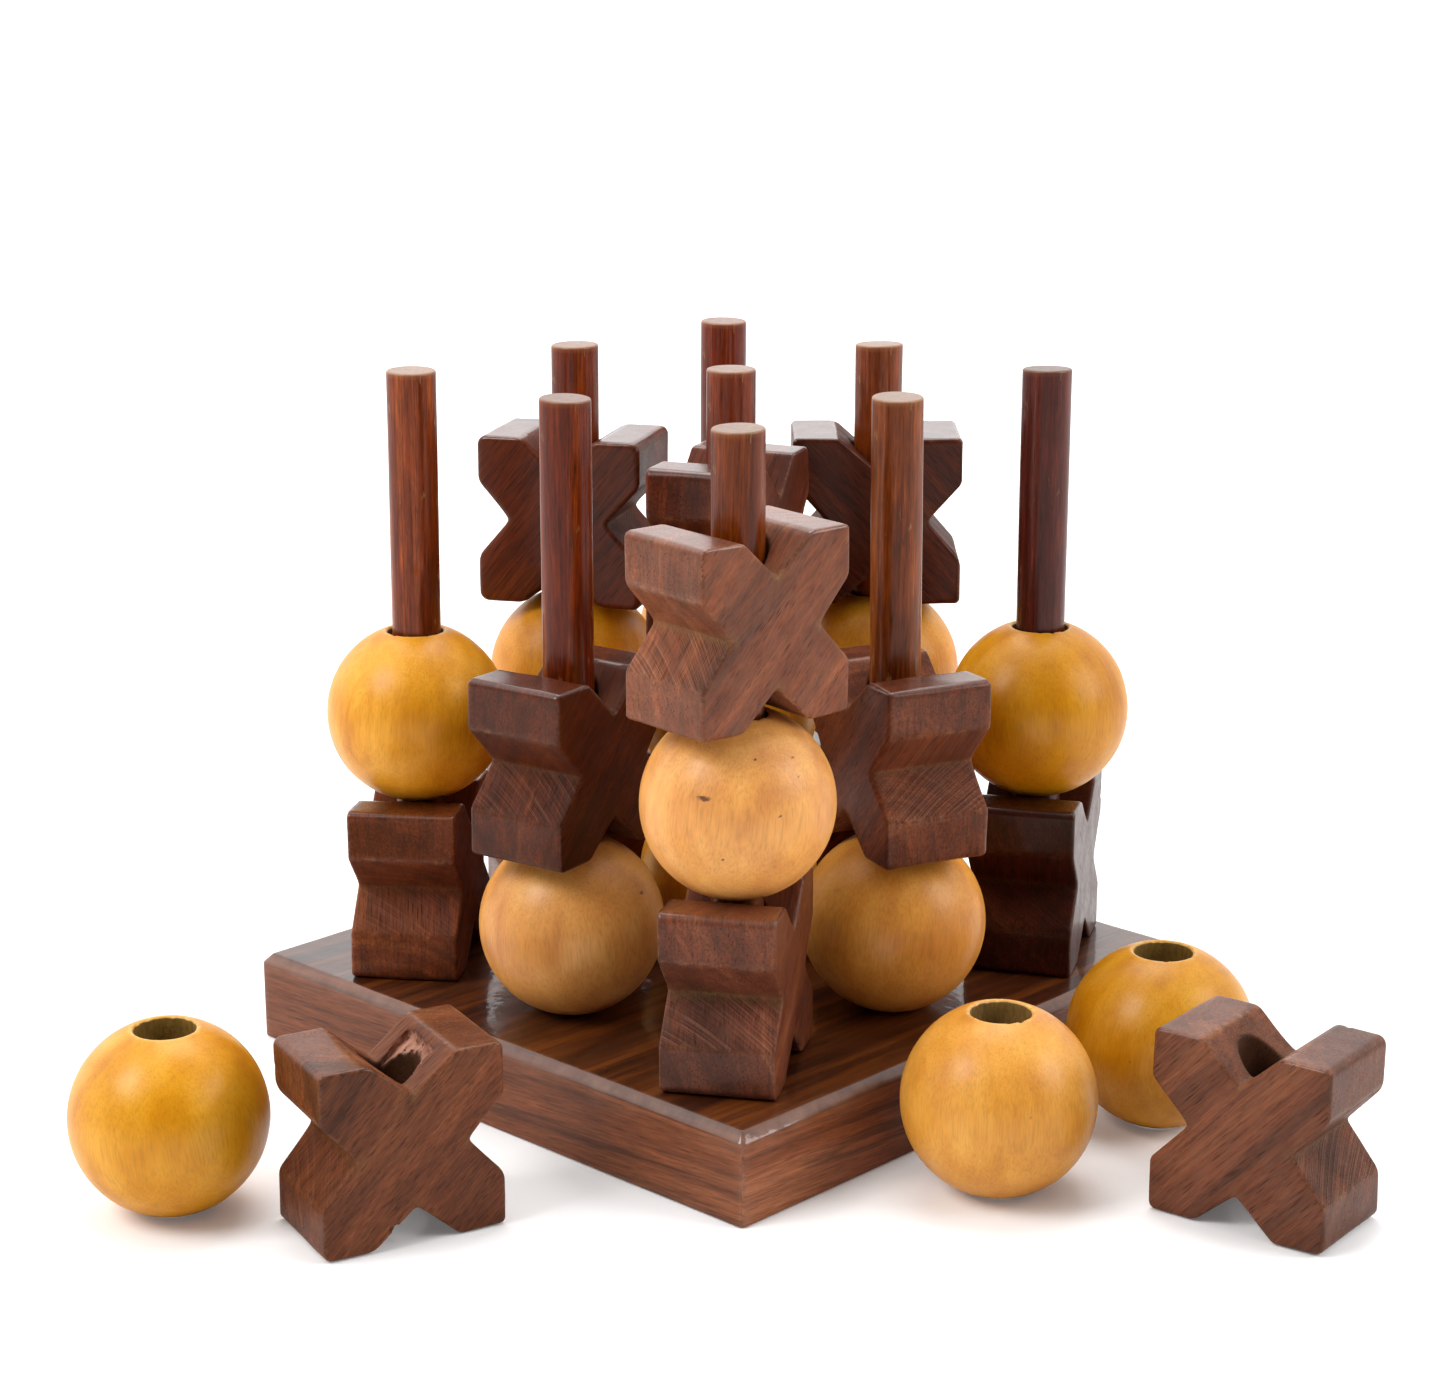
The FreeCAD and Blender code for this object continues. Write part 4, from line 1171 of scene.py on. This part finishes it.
# a bright sweep behind, soft boxes to the sides and above, and little from the camera's own side
sky = W.math("MULTIPLY", W.ramp(W.remap(front, -1.0, 1.0), [(0.0, W_BACK), (0.32, W_BACK * 0.85), (0.60, W_SIDE), (0.85, W_FRONT), (1.0, W_FRONT)]), 1.0)
sky = W.math("ADD", sky, W.remap(left, 0.15, 0.85, 0.0, W_LEFT))
sky = W.math("ADD", sky, W.remap(up, 0.45, 0.95, 0.0, W_TOP))
wlp = W.new("ShaderNodeLightPath")
bg = W.new("ShaderNodeBackground")
W.put(bg.inputs["Strength"], W.remap(wlp.outputs["Is Camera Ray"], 0.0, 1.0, sky, 1.25))
W.link(bg.outputs[0], W.out.inputs[0])


def area(name, loc, target, size, power, size_y=None, col=(1, 1, 1)):
    l = bpy.data.lights.new(name, "AREA")
    l.energy = power
    l.color = col
    l.shape = "RECTANGLE"
    l.size = size
    l.size_y = size_y or size
    o = bpy.data.objects.new(name, l)
    o.location = loc
    o.rotation_mode = "QUATERNION"
    o.rotation_quaternion = (Vector(target) - Vector(loc)).to_track_quat("-Z", "Y")
    bpy.context.scene.collection.objects.link(o)
    return o


area("key", cd * 0.45 - cr * 0.80 + Vector((0, 0, 0.95)), (0, 0, 0.06), 0.55, 9.0)
area("fill", cd * 0.25 + cr * 0.95 + Vector((0, 0, 0.60)), (0, 0, 0.06), 0.6, 6.2)
area("top", -cd * 0.35 + Vector((0, 0, 1.1)), (0, 0, 0.05), 0.7, 6.0)

cam_data = bpy.data.cameras.new("camera")
cam_data.sensor_width = 36.0
cam_data.lens = 3123.98 / 1445 * 36.0
cam = bpy.data.objects.new("camera", cam_data)
PAN = -1.35 * SIDE
cam.location = Vector(EYE + PAN) * MM
cam.rotation_mode = "QUATERNION"
cam.rotation_quaternion = (Vector(AIM + PAN) * MM - cam.location).to_track_quat("-Z", "Y")
cam_data.clip_start, cam_data.clip_end = 0.01, 50
bpy.context.scene.collection.objects.link(cam)
sc.camera = cam
sc.view_settings.view_transform = "Standard"
sc.view_settings.look = "None"
sc.view_settings.exposure = 0.0

NEW_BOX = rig.bounds()
with open("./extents.json", "w") as fh:
    json.dump({"cad": [list(CAD_BOX[0]), list(CAD_BOX[1])], "visual": [list(NEW_BOX[0]), list(NEW_BOX[1])]}, fh)
